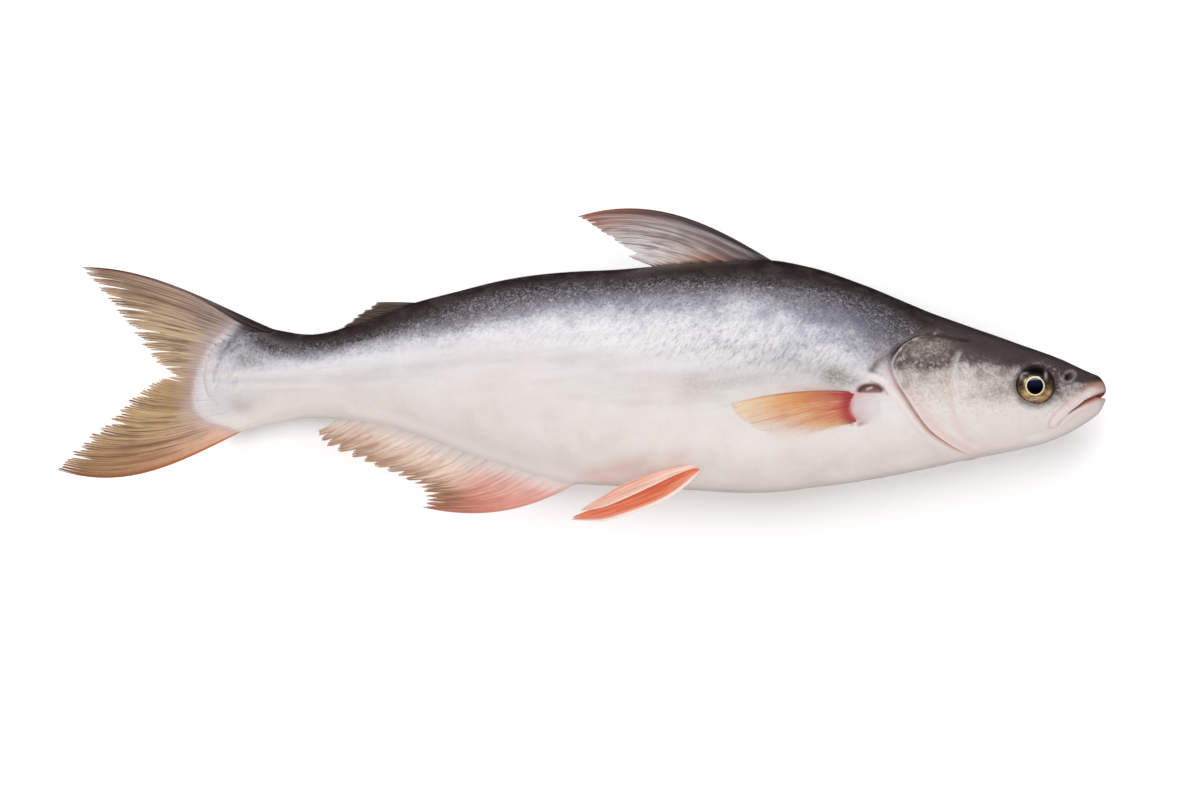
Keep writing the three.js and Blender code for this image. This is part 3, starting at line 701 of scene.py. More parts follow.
# %% A fan of rays in the side view
def fan(roots, tips, bow, skew=0.0, out=lambda t, u: 0 * t):
    root, tip = smooth_line(roots), smooth_line(tips)

    def place(t, u):
        """A point t of the way across the fan and u of the way out along its ray."""
        (a0, h0), (a1, h1) = root(t), tip(t)
        length = np.hypot(a1 - a0, h1 - h0)
        bend = bow(t) * 4 * u * (1 - u) * (1 + skew * (2 * u - 1))
        a = blend(a0, a1, u) - bend * (h1 - h0) / length
        h = blend(h0, h1, u) + bend * (a1 - a0) / length
        depth = out(t, u)
        return a, from_view(a, h, depth), depth

    return place


# %% A thin grid with two faces
def fan_grid(name, rays, per_ray, rows):
    """A closed sheet, and where each point is: across the fan, outward, and on which of the two faces."""
    bm = bmesh.new()
    bmesh.ops.create_grid(bm, x_segments=rays * per_ray, y_segments=rows, size=1)
    across = bm.verts.layers.float.new("across")
    outward = bm.verts.layers.float.new("outward")
    face = bm.verts.layers.float.new("face")
    for vert in bm.verts:
        vert[across], vert[outward], vert[face] = (vert.co.x + 1) / 2, (vert.co.y + 1) / 2, -1
    made = bmesh.ops.extrude_face_region(bm, geom=bm.faces[:], use_keep_orig=True)
    for vert in made["geom"]:
        if isinstance(vert, bmesh.types.BMVert):
            vert[face] = 1
    mesh = bpy.data.meshes.new(name)
    bm.to_mesh(mesh)
    bm.free()
    shares = [np.empty(len(mesh.vertices), np.float32) for _ in range(3)]
    for mask, values in zip(("across", "outward", "face"), shares):
        mesh.attributes[mask].data.foreach_get("value", values)
    return mesh, *(values.astype(float) for values in shares)


# %% A helper that makes a fin from a fan
EDGE_HALF = 0.2
TIP_CROWDING = 1.25


def fin_piece(name, place, rays, per_ray, rows, halves, root_zone, margin, seed,
              beyond=lambda a, h: 50 + 0 * a, taper=0.0):
    """Halves are the half thickness at the root, on a ray and between rays. Margin is the depth of the
    teeth, of the tears between rays and of the fraying, as shares of the fin's length. Beyond is how
    far, in millimetres, a point of the side view is past the trunk's own skin. Taper is how much the
    root thins from the first ray to the last."""
    mesh, t, u, side = fan_grid(name, rays, per_ray, rows)
    u = 1 - (1 - u) ** TIP_CROWDING
    ridge = branch_ridge(t, u, rays)
    root_half, ray_half, web_half = halves
    root_half = root_half * (1 - taper * t)
    half = blend(root_half, blend(web_half, ray_half, ridge**1.5), soft_step(u, 0, root_zone))
    half = blend(half, EDGE_HALF, u**1.4)
    # A fin is thinner at its first and its last ray, and at its tips.
    rim = np.minimum(1, 0.35 + 8 * np.minimum(t, 1 - t)) * np.minimum(1, 0.4 + 6 * (1 - u))
    a, h, depth = place(t, u * frayed_reach(t, rays, *margin, seed))
    mesh.vertices.foreach_set("co", settle(a, h, depth + side * half * rim).astype(np.float32).ravel())
    mesh.attributes["outward"].data.foreach_set("value", u.astype(np.float32))
    shown, _ = rolled(a, h, depth)
    write_masks(mesh, {"ridge": ridge, "skin_tone": np.maximum(trunk_tone(a, shown), 0.05),
                       "beyond": beyond(a, shown)})
    close_shell(mesh, merge=False)
    piece = in_scene(name, mesh)
    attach(piece, "root")
    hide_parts("fish")
    # Real fin skin is so thin that it lets most of the light through, so a fin throws no shadow.
    piece.visible_shadow = False
    print(name, "has", len(mesh.polygons), "faces")
    return piece


# %% The tail's two lobes
def past_tail(a, h):
    return a - tail_arc(h)


tail_upper = fin_piece(
    "tail_upper",
    fan(
        roots=[(397, 23.8), (404, 20.4), (410, 14), (414, 7), (416, -1.5)],
        tips=[(490.5, 54.2), (487.5, 49), (480, 38.5), (470, 26.5), (461, 14.8), (453, 6.4), (445, 2)],
        bow=lambda t: blend(5.1, 0.4, t**0.6), skew=0.6,
        out=lambda t, u: 0.8 * np.sin(9 * t) * u),
    rays=13, per_ray=22, rows=60, halves=(3.6, 1.0, 0.8), root_zone=0.48, margin=(0.046, 0.3, 0.05),
    seed=1, beyond=past_tail)
tail_lower = fin_piece(
    "tail_lower",
    fan(
        roots=[(398, -17.5), (406, -16.5), (412, -12), (415, -6), (416, 3.5)],
        tips=[(502, -43), (496, -34.5), (486, -24.5), (473, -14.6), (463, -5), (452, 1.2), (444, 2.4)],
        bow=lambda t: blend(-10.6, -0.4, t**0.6), skew=0.6,
        out=lambda t, u: 0.7 * np.sin(8 * t + 1) * u),
    rays=14, per_ray=22, rows=60, halves=(3.6, 1.0, 0.8), root_zone=0.48, margin=(0.032, 0.22, 0.05),
    seed=2, beyond=past_tail)

# %% The back fin and the small fleshy fin behind it
def over_back(a, h):
    return h - back_line(a)


back_fin = fin_piece(
    "back_fin",
    fan(
        roots=[(155, 54), (175, 52), (194, 51), (213, 50)],
        tips=[(252.5, 78.3), (246.5, 74.5), (238, 68.8), (231, 64), (225, 60.4), (228.5, 59.2),
              (217, 54.4)],
        bow=lambda t: blend(11.8, 0.4, t**0.42), skew=0.3,
        out=lambda t, u: -1.5 * u * u + 0.5 * np.sin(10 * t) * u),
    rays=8, per_ray=24, rows=60, halves=(2.6, 0.9, 0.55), root_zone=0.16, margin=(0.012, 0.05, 0.02),
    seed=3, beyond=over_back)
fleshy_fin = fin_piece(
    "fleshy_fin",
    fan(
        roots=[(322, 36.5), (338, 31), (354, 24)],
        tips=[(348.5, 37.3), (352.5, 34.6), (357.6, 31.6), (361, 28.6), (367.2, 24.4)],
        bow=lambda t: 0.3 + 0 * t),
    rays=6, per_ray=14, rows=24, halves=(2.0, 1.3, 1.1), root_zone=0.3, margin=(0.1, 0.1, 0.05), seed=4,
    beyond=over_back)

# %% The long vent fin
vent_fin = fin_piece(
    "vent_fin",
    fan(
        roots=[(250, -46.8), (272, -41), (287, -37), (300, -33), (313, -28), (326, -22.5), (349, -16),
               (364, -14)],
        tips=[(327, -60.8), (325.6, -56.8), (328.6, -51.6), (336, -47.4), (347, -42.6), (361.5, -36.8),
              (374.6, -30.6), (378, -24.6)],
        bow=lambda t: blend(-8.6, -1.5, t**0.6),
        out=lambda t, u: 1.6 * u * u * np.sin(5 * t + 0.6)),
    rays=17, per_ray=18, rows=48, halves=(8.6, 1.0, 0.7), root_zone=0.36, margin=(0.14, 0.2, 0.04),
    seed=19, beyond=lambda a, h: belly_line(a) - h, taper=0.4)


# %% The breast fins
FIN_PIVOT = (116, -13)
ROOT_RADIUS = 5.2


def breast_fin(name, side, drop, seed):
    """A fin that follows the flank. The one underneath is folded towards the belly."""
    turn = -np.radians(drop)

    def swing(points):
        made = np.array(points, float) - FIN_PIVOT
        spun = made @ np.array([[np.cos(turn), np.sin(turn)], [-np.sin(turn), np.cos(turn)]])
        return (spun + FIN_PIVOT).tolist()

    blade = fan(
        roots=swing([(114, -6.3), (116, -13), (119, -19.6)]),
        tips=swing([(179.6, -11.4), (178.6, -15.4), (173.4, -20), (165.5, -24.6), (156, -27.6),
                    (146, -27.4), (136, -24.8), (125.5, -21.8)]),
        bow=lambda t: blend(3.2, 0, t))

    def past_lobe(a, h):
        return np.hypot(a - LOBE_CENTRE[0], h - LOBE_CENTRE[1]) - ROOT_RADIUS

    def place(t, u):
        a, h, depth = blade(t, u)
        shown, _ = rolled(a, h, depth)
        h, flank = flank_at(a, shown)
        lift = blend(-2.4, 0.9, soft_step(u, 0.04, 0.2))
        return a, h, side * (flank + lift)

    return fin_piece(name, place, rays=9, per_ray=14, rows=40, halves=(1.6, 0.8, 0.7), root_zone=0.3,
                     margin=(0.015, 0, 0.03), seed=seed, beyond=past_lobe)


breast_right = breast_fin("breast_fin_right", 1, 0, 6)
breast_left = breast_fin("breast_fin_left", -1, 24, 7)


# %% The belly fins
def belly_fin(name, lead, trail, outs, tilt, seed):
    """A folded fin between its first and its last ray. Outs says how far out it is along the first."""
    leading, trailing, depth = smooth_line(lead), smooth_line(trail), smooth_curve(outs)

    def place(t, u):
        (a0, h0), (a1, h1) = leading(u), trailing(u)
        spread = np.hypot(a1 - a0, h1 - h0)
        z = depth(u) + t * spread * np.tan(np.radians(tilt)) + 1.2 * np.sin(np.pi * t)
        a = blend(a0, a1, t)
        return a, from_view(a, blend(h0, h1, t), z), z

    return fin_piece(name, place, rays=6, per_ray=14, rows=48, halves=(1.4, 0.8, 0.6), root_zone=0.3,
                     margin=(0.03, 0.08, 0.03), seed=seed)


belly_right = belly_fin(
    "belly_fin_right",
    lead=[(192, -40.4), (204, -44.4), (216.5, -50.2), (229.5, -56.2), (241.5, -60.9), (252, -62.8)],
    trail=[(192, -39.4), (205, -41.4), (219, -45.3), (231, -49.8), (242, -56.2), (251.6, -62.2)],
    outs=[(0, 16), (0.12, 23), (0.3, 21.5), (0.6, 12), (1, 3)], tilt=12, seed=8)
belly_left = belly_fin(
    "belly_fin_left",
    lead=[(191.5, -41), (201.6, -50.9), (212.6, -58.1), (227.3, -63.8), (242, -67.5), (256.4, -66.8)],
    trail=[(192.5, -40), (206, -45), (214, -49), (231, -56.5), (247, -62), (255.6, -65.6)],
    outs=[(0, 16), (0.12, 21), (0.3, 17), (0.6, 5), (1, -6)], tilt=-10, seed=9)

# %% [markdown]
# ## Eyes
# A fish's eye is a flattened ball with a clear bulging front. The sphere's poles point along the eye's
# axis, so its rings run round the pupil and stay smooth in close views. Each point keeps its distance
# from the middle of the pupil, which the finish turns into pupil, bright ring and iris. Golden patches,
# brown sides and drawn lights are soft spots in that same plane.

# %% What the eye's finish reads
EYE_HALF = (9.7, 9.4, 6.4)
PUPIL_PLACE = (34.6, -2.9)
EYE_DEPTH = 2.7
LOOK_UP = 8
FAR_OFF = 12


def eye_masks(co, centre, side):
    """The distance from the pupil, the height over it, and the soft spots of the iris."""
    pupil = settle(np.array(PUPIL_PLACE[0]), np.array(PUPIL_PLACE[1]), 0.0)
    lift = (co[:, 1] - pupil[1]) * 1000
    reach = np.hypot((co[:, 0] - pupil[0]) * 1000, lift)
    reach = np.where((co[:, 2] - centre[2]) * side > 0, reach, FAR_OFF)
    behind = TOTAL_LENGTH / 2 - co[:, 0] * 1000 - PUPIL_PLACE[0]

    def glows(*spots):
        return sum(share * glow(np.hypot((behind - a) / wide, (lift - h) / high))
                   for share, a, h, wide, high in spots)

    return {
        "reach": reach,
        "lift": lift,
        "shine": glows((1, 6.6, 4.6, 0.8, 1.5), (0.7, 5, 6, 1.5, 0.6), (0.9, -5.2, 5, 0.7, 1.7),
                       (0.7, 1, -6.5, 2.8, 0.6)),
        "gold": glows((1, 4.2, -3.6, 2, 1.3), (0.9, 4.9, 1.8, 0.7, 2), (0.9, 1.8, 4.9, 1.6, 0.5),
                      (0.8, -6.8, -3.4, 1.7, 1.7), (0.7, -2.6, -5.6, 2.4, 0.7)),
        "umber": glows((1, 6.8, 0.6, 1.6, 2), (1, -6, 0.8, 1.4, 2.2), (0.8, 0.4, -7.6, 1.8, 0.8)),
    }


# %% The eyeballs
def eyeball(name, node, side):
    bm = bmesh.new()
    bmesh.ops.create_uvsphere(bm, u_segments=96, v_segments=72, radius=1)
    bmesh.ops.scale(bm, vec=EYE_HALF, verts=bm.verts)
    mesh = bpy.data.meshes.new(name)
    bm.to_mesh(mesh)
    bm.free()
    shade_smooth(mesh)
    tip = side * np.radians(LOOK_UP) + ROLL
    h, flank = flank_at(np.array(EYE_PLACE[0]), np.array(EYE_PLACE[1]))
    centre = settle(np.array(EYE_PLACE[0]), h, side * (flank - EYE_DEPTH))
    co = np.empty(len(mesh.vertices) * 3, np.float32)
    mesh.vertices.foreach_get("co", co)
    co = co.reshape(-1, 3) / 1000
    turn = np.array([[1, 0, 0], [0, np.cos(tip), -np.sin(tip)], [0, np.sin(tip), np.cos(tip)]])
    co = co @ turn + centre
    mesh.vertices.foreach_set("co", co.astype(np.float32).ravel())
    mesh.update()
    write_masks(mesh, eye_masks(co, centre, side))
    piece = in_scene(name, mesh)
    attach(piece, "root")
    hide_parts(node)
    print(name, "centre in mm:", np.round(centre * 1000, 1))
    return piece


eye_balls = [eyeball("eyeball_right", "eye_right", 1), eyeball("eyeball_left", "eye_left", -1)]

# %% [markdown]
# ## Finishes
# A finish is a material made of nodes. Writing the maths of masks as Python expressions is easier to read
# than a tree of Math nodes, so a small class wraps one socket and adds the nodes for plus, minus, times
# and the absolute value. A finish then grows like a painting, from layers of a share and a colour.

# %% Shader maths as Python
class Wire:
    """One output socket, on which arithmetic adds Math nodes."""

    def __init__(self, finish, socket):
        self.finish, self.socket = finish, socket

    def _math(self, operation, first, second):
        return self.finish.node("ShaderNodeMath", {"operation": operation}, {0: first, 1: second})

    def __add__(self, other):
        return self._math("ADD", self, other)

    def __radd__(self, other):
        return self._math("ADD", other, self)

    def __sub__(self, other):
        return self._math("SUBTRACT", self, other)

    def __rsub__(self, other):
        return self._math("SUBTRACT", other, self)

    def __mul__(self, other):
        return self._math("MULTIPLY", self, other)

    def __rmul__(self, other):
        return self._math("MULTIPLY", other, self)

    def __abs__(self):
        return self._math("ABSOLUTE", self, 0.0)


# %% A finish that grows node by node
class Finish:
    """A new material with a Principled shader, and a method that adds any node to it."""

    def __init__(self, name, **constants):
        self.material = bpy.data.materials.new(name)
        self.material.use_nodes = True
        self.tree = self.material.node_tree
        self.shader = self.tree.nodes["Principled BSDF"]
        for socket, value in constants.items():
            self.shader.inputs[socket.replace("_", " ")].default_value = value

    def node(self, kind, settings=None, sockets=None, output=0):
        made = self.tree.nodes.new(kind)
        for key, value in (settings or {}).items():
            if key == "stops":
                ramp = made.color_ramp
                while len(ramp.elements) < len(value):
                    ramp.elements.new(0.5)
                for element, (position, colour) in zip(ramp.elements, value):
                    element.position, element.color = position, colour
            else:
                setattr(made, key, value)
        for key, value in (sockets or {}).items():
            self.plug(value, made.inputs[key])
        return Wire(self, made.outputs[output])

    def plug(self, value, socket):
        if isinstance(value, Wire):
            self.tree.links.new(value.socket, socket)
        else:
            socket.default_value = value

    def feed(self, **sockets):
        for name, value in sockets.items():
            self.plug(value, self.shader.inputs[name.replace("_", " ")])

    def mask(self, name):
        return self.node("ShaderNodeAttribute", {"attribute_name": name}, output="Fac")

    def place(self):
        return self.node("ShaderNodeTexCoord", output="Object")

    def noise(self, vector, scale, detail=4.0, roughness=0.55, distortion=0.0):
        return self.node("ShaderNodeTexNoise", {"noise_type": "FBM"},
                         {"Vector": vector, "Scale": scale, "Detail": detail, "Roughness": roughness,
                          "Distortion": distortion})

    def step(self, value, low, high, to_low=0.0, to_high=1.0):
        return self.node("ShaderNodeMapRange", {"interpolation_type": "SMOOTHSTEP"},
                         {0: value, 1: low, 2: high, 3: to_low, 4: to_high})

    def mix(self, factor, first, second):
        settings = {"data_type": "RGBA", "blend_type": "MIX", "clamp_factor": True}
        return self.node("ShaderNodeMix", settings, {0: factor, 6: first, 7: second}, output=2)

    def ramp(self, value, stops):
        return self.node("ShaderNodeValToRGB", {"stops": stops}, {0: value})

    def bump(self, height, strength, distance, below=None):
        sockets = {"Height": height, "Strength": strength, "Distance": distance}
        if below is not None:
            sockets["Normal"] = below
        return self.node("ShaderNodeBump", {}, sockets)


# %% Screen colours, ramps and layers
LIGHT = 1.48


def paint(red, green, blue, gain=1.0):
    """The linear colour that a shader needs to look like a screen colour under these lights."""
    shares = [c / 255 for c in (red, green, blue)]
    linear = [s / 12.92 if s <= 0.04045 else ((s + 0.055) / 1.055) ** 2.4 for s in shares]
    return tuple(min(gain * share / LIGHT, 1) for share in linear) + (1.0,)


def painted(finish, value, colours, gain=1.0):
    """A ramp over a mask, from pairs of a place and a screen colour."""
    return finish.ramp(value, [(place, paint(*colour, gain)) for place, colour in colours])


def layered(finish, colour, layers, gain=1.0):
    """The colour with layers over it, each given as its share and its screen colour."""
    for share, above in layers:
        colour = finish.mix(share, colour, paint(*above, gain))
    return colour


# %% [markdown]
# ### Skin
# Wet fish skin is a clear slimy coat over pigment and silver platelets. The ramp below turns the tone
# mask into colour. Noise moves the tone up and down before the ramp reads it, so the borders between
# dark, silver and white are speckled, not airbrushed. The silver band is finely crinkled, which noise
# gives that is stretched on a slant and feeds both colour and bump; in the colour, white and grey
# streaks are the crinkles' painted highlights and painted shade. Under it, noise that is stretched
# along the fish makes faint level bands, and the belly is smooth.

# %% The skin's colours from belly to back
TRUNK_COLOURS = [
    (0.0, (234, 221, 214)), (0.05, (236, 224, 218)), (0.14, (241, 231, 227)), (0.24, (236, 229, 226)),
    (0.31, (227, 221, 220)), (0.38, (233, 229, 230)), (0.43, (236, 233, 236)), (0.47, (224, 221, 228)),
    (0.53, (192, 189, 198)), (0.6, (144, 139, 148)), (0.7, (94, 86, 89)), (0.8, (55, 44, 43)),
    (0.9, (50, 39, 37)), (1.0, (48, 37, 35)),
]
HEAD_COLOURS = [
    (0.0, (240, 229, 223)), (0.12, (243, 232, 227)), (0.3, (239, 229, 224)), (0.45, (214, 203, 197)),
    (0.55, (182, 168, 163)), (0.62, (124, 108, 104)), (0.72, (72, 58, 58)), (0.8, (77, 64, 64)),
    (0.9, (78, 66, 66)), (1.0, (54, 45, 45)),
]


# %% The skin's finish: what the noises do
skin = Finish("wet skin", Subsurface_Weight=0.12, Subsurface_Scale=0.004, Specular_IOR_Level=0.3,
              Coat_Roughness=0.2)
skin.shader.inputs["Subsurface Radius"].default_value = (1.0, 0.5, 0.35)
# The noises, from the finest to the slowest, are grain, speckle, patch, cloud and drift. Streak is slanted
# and stretched, band is stretched along the fish, and a worm line is where a noise crosses its middle.
where = skin.place()
tone_wire, head, crinkled = skin.mask("tone"), skin.mask("head"), skin.mask("crinkle")
slanted = skin.node("ShaderNodeMapping", {"vector_type": "TEXTURE"},
                    {"Vector": where, "Rotation": (0.0, 0.0, 0.95), "Scale": (3.0, 1.0, 1.6)})
streak = skin.noise(slanted, 620, 3, 0.6, 0.6)
worm = skin.noise(where, 380, 2, 0.5, 0.8)
small_worm = skin.noise(where, 640, 2, 0.5, 0.6)
worm_line = skin.step(abs(worm - 0.5), 0.05, 0.0)
small_line = skin.step(abs(small_worm - 0.5), 0.05, 0.0)
grain = skin.noise(where, 1500, 3, 0.6)
speckle = skin.noise(where, 720, 4, 0.7)
patch = skin.noise(where, 150, 4, 0.6, 0.5)
cloud = skin.noise(where, 60, 5, 0.6, 0.4)
drift = skin.noise(where, 16, 3, 0.5)
long_bands = skin.node("ShaderNodeMapping", {"vector_type": "TEXTURE"},
                       {"Vector": where, "Rotation": (0.0, 0.0, 0.06), "Scale": (7.0, 1.0, 2.0)})
band = skin.noise(long_bands, 170, 4, 0.6)
# Where on the body each pattern shows is read from the tone.
on_middle = skin.step(tone_wire, 0.16, 0.26) * skin.step(tone_wire, 0.52, 0.42) * (1 - head)
on_back = skin.step(tone_wire, 0.72, 0.84)
on_flank = skin.step(tone_wire, 0.28, 0.42) * skin.step(tone_wire, 1.05, 0.85)
mottled = skin.step(tone_wire, 0.44, 0.56) * skin.step(tone_wire + head * 0.14, 0.9, 0.74)
on_cheek = head * skin.step(tone_wire, 0.16, 0.34) * skin.step(tone_wire, 0.62, 0.5)
below = skin.step(tone_wire, 0.4, 0.28)

# %% The skin's finish: colours
moved = (tone_wire + (patch - 0.5) * (0.16 + head * 0.5) * on_flank + (speckle - 0.5) * 0.16 * on_flank
         + (cloud - 0.5) * 0.14 + (drift - 0.5) * 0.1 * on_flank)
colour = skin.mix(head, painted(skin, moved, TRUNK_COLOURS), painted(skin, moved, HEAD_COLOURS))
colour = layered(skin, colour, [
    (worm_line * mottled * 0.42, (214, 212, 222)),
    (small_line * mottled * 0.3, (190, 186, 198)),
    (skin.step(speckle, 0.52, 0.66) * mottled * 0.45, (58, 52, 58)),
    # White and grey streaks on the crinkles: painted highlights and painted shade.
    (skin.step(streak, 0.53, 0.64) * on_flank * crinkled * 0.85, (250, 249, 253)),
    (skin.step(streak, 0.47, 0.36) * on_flank * crinkled * 0.6, (146, 146, 162)),
    (skin.step(band, 0.48, 0.64) * on_middle * 0.3, (250, 247, 248)),
    (skin.step(band, 0.5, 0.36) * on_middle * 0.16, (190, 182, 186)),
    (skin.step(patch, 0.46, 0.64) * on_back * 0.4, (86, 76, 74)),
    (skin.step(speckle, 0.52, 0.66) * on_back * 0.25, (34, 27, 27)),
    (skin.step(grain, 0.56, 0.7) * 0.2 * on_flank, (90, 86, 104)),
    (skin.step(cloud, 0.48, 0.66) * below * 0.25, (250, 244, 242)),
    (skin.step(cloud, 0.5, 0.32) * below * 0.18, (204, 196, 194)),
    (skin.step(patch, 0.48, 0.66) * below * 0.14, (250, 246, 244)),
    (skin.step(drift, 0.5, 0.62) * below * 0.22, (242, 218, 210)),
    (skin.step(speckle, 0.5, 0.62) * on_cheek * 0.3, (166, 152, 146)),
    (skin.step(speckle, 0.46, 0.36) * on_cheek * 0.24, (246, 236, 232)),
])

# %% The skin's finish: veils, folds, blood and dark lines
mixed = skin.mask("beige") + skin.mask("mauve") * head
dark_head = skin.step(patch, 0.55, 0.66) * head * on_flank * skin.step(tone_wire, 0.74, 0.62)
colour = layered(skin, colour, [
    (skin.mask("blue") * skin.step(patch, 0.34, 0.62, 0.3, 0.9), (114, 119, 148)),
    (skin.mask("veil") * skin.step(speckle, 0.34, 0.6, 0.4, 0.8), (142, 134, 126)),
    (skin.mask("mauve") * skin.step(patch, 0.32, 0.6, 0.5, 0.9), (98, 80, 84)),
    (skin.mask("beige") * skin.step(speckle, 0.4, 0.58, 0.2, 0.95), (166, 155, 144)),
    (skin.step(grain, 0.5, 0.58) * mixed * 0.75, (78, 66, 68)),
    (skin.step(worm, 0.54, 0.59) * mixed * 0.5, (208, 198, 188)),
    (dark_head * 0.35, (180, 170, 162)),
    (skin.mask("blood") * 0.8, (226, 156, 138)),
    (skin.mask("pale") * 0.7, (242, 230, 227)),
    (skin.mask("lilac") * skin.step(cloud, 0.3, 0.6, 0.6, 0.9), (216, 196, 200)),
    (skin.mask("raw"), (196, 92, 62)),
    (skin.mask("ink") * 0.92, (44, 30, 29)),
])

# %% The skin's finish: wetness and fine relief
rough = skin.step(speckle, 0.3, 0.7, 0.3, 0.46)
wet = skin.step(tone_wire, 0.75, 0.5, 0.06, 0.3)
soft = skin.bump(cloud, 0.25, 0.0012)
folded = skin.bump(streak * crinkled * on_flank, 0.8, 0.002, soft)
fine = skin.bump(worm_line * mottled, 0.6, 0.0004, folded)
skin.feed(Base_Color=colour, Roughness=rough, Coat_Weight=wet,
          Normal=skin.bump(grain, 0.08, 0.0002, fine))
body.data.materials.append(skin.material)
print("skin finish has", len(skin.tree.nodes), "nodes")

# %% [markdown]
# ### Fin skin
# Fin skin is thin and nearly clear, over rays that are darker or redder. The colour follows numbers that
# each fin's mesh carries: how far a point is across the fan, how far out along its ray and how far past
# the trunk's own skin. Streaks come from noise that is stretched along the rays.

# %% Stripes and streaks that follow a fan
def fan_patterns(finish, rays):
    """Stripes on the rays, few and forking, then three noises on the fan and two on the place."""
    across, outward, where = finish.mask("across"), finish.mask("outward"), finish.place()

    def on_fan(crosswise, lengthwise, layer):
        return finish.node("ShaderNodeCombineXYZ", {}, {0: across * crosswise, 1: outward * lengthwise,
                                                        2: layer})

    def stripes(count, wander):
        place = across * count + (wave - 0.5) * wander
        return finish.node("ShaderNodeMath", {"operation": "PINGPONG"}, {0: place, 1: 0.5}) * 2

    wave = finish.noise(on_fan(rays * 0.4, 2.0, 0.0), 1.0, 2, 0.5)
    strand = finish.noise(on_fan(rays * 1.3, 1.2, 2.0), 1.0, 3, 0.6)
    dash = finish.noise(on_fan(rays * 3.6, 2.2, 5.0), 1.0, 3, 0.6)
    hair = finish.noise(on_fan(rays * 9, 5.0, 8.0), 1.0, 2, 0.6)
    cloud = finish.noise(where, 110, 4, 0.6)
    dust = finish.noise(where, 1300, 3, 0.6)
    few, many = stripes(rays * 2, 2.6), stripes(rays * 4, 4.4)
    forking = few + (many - few) * finish.step(outward, 0.35, 0.6)
    return few, forking, strand, dash, hair, cloud, dust


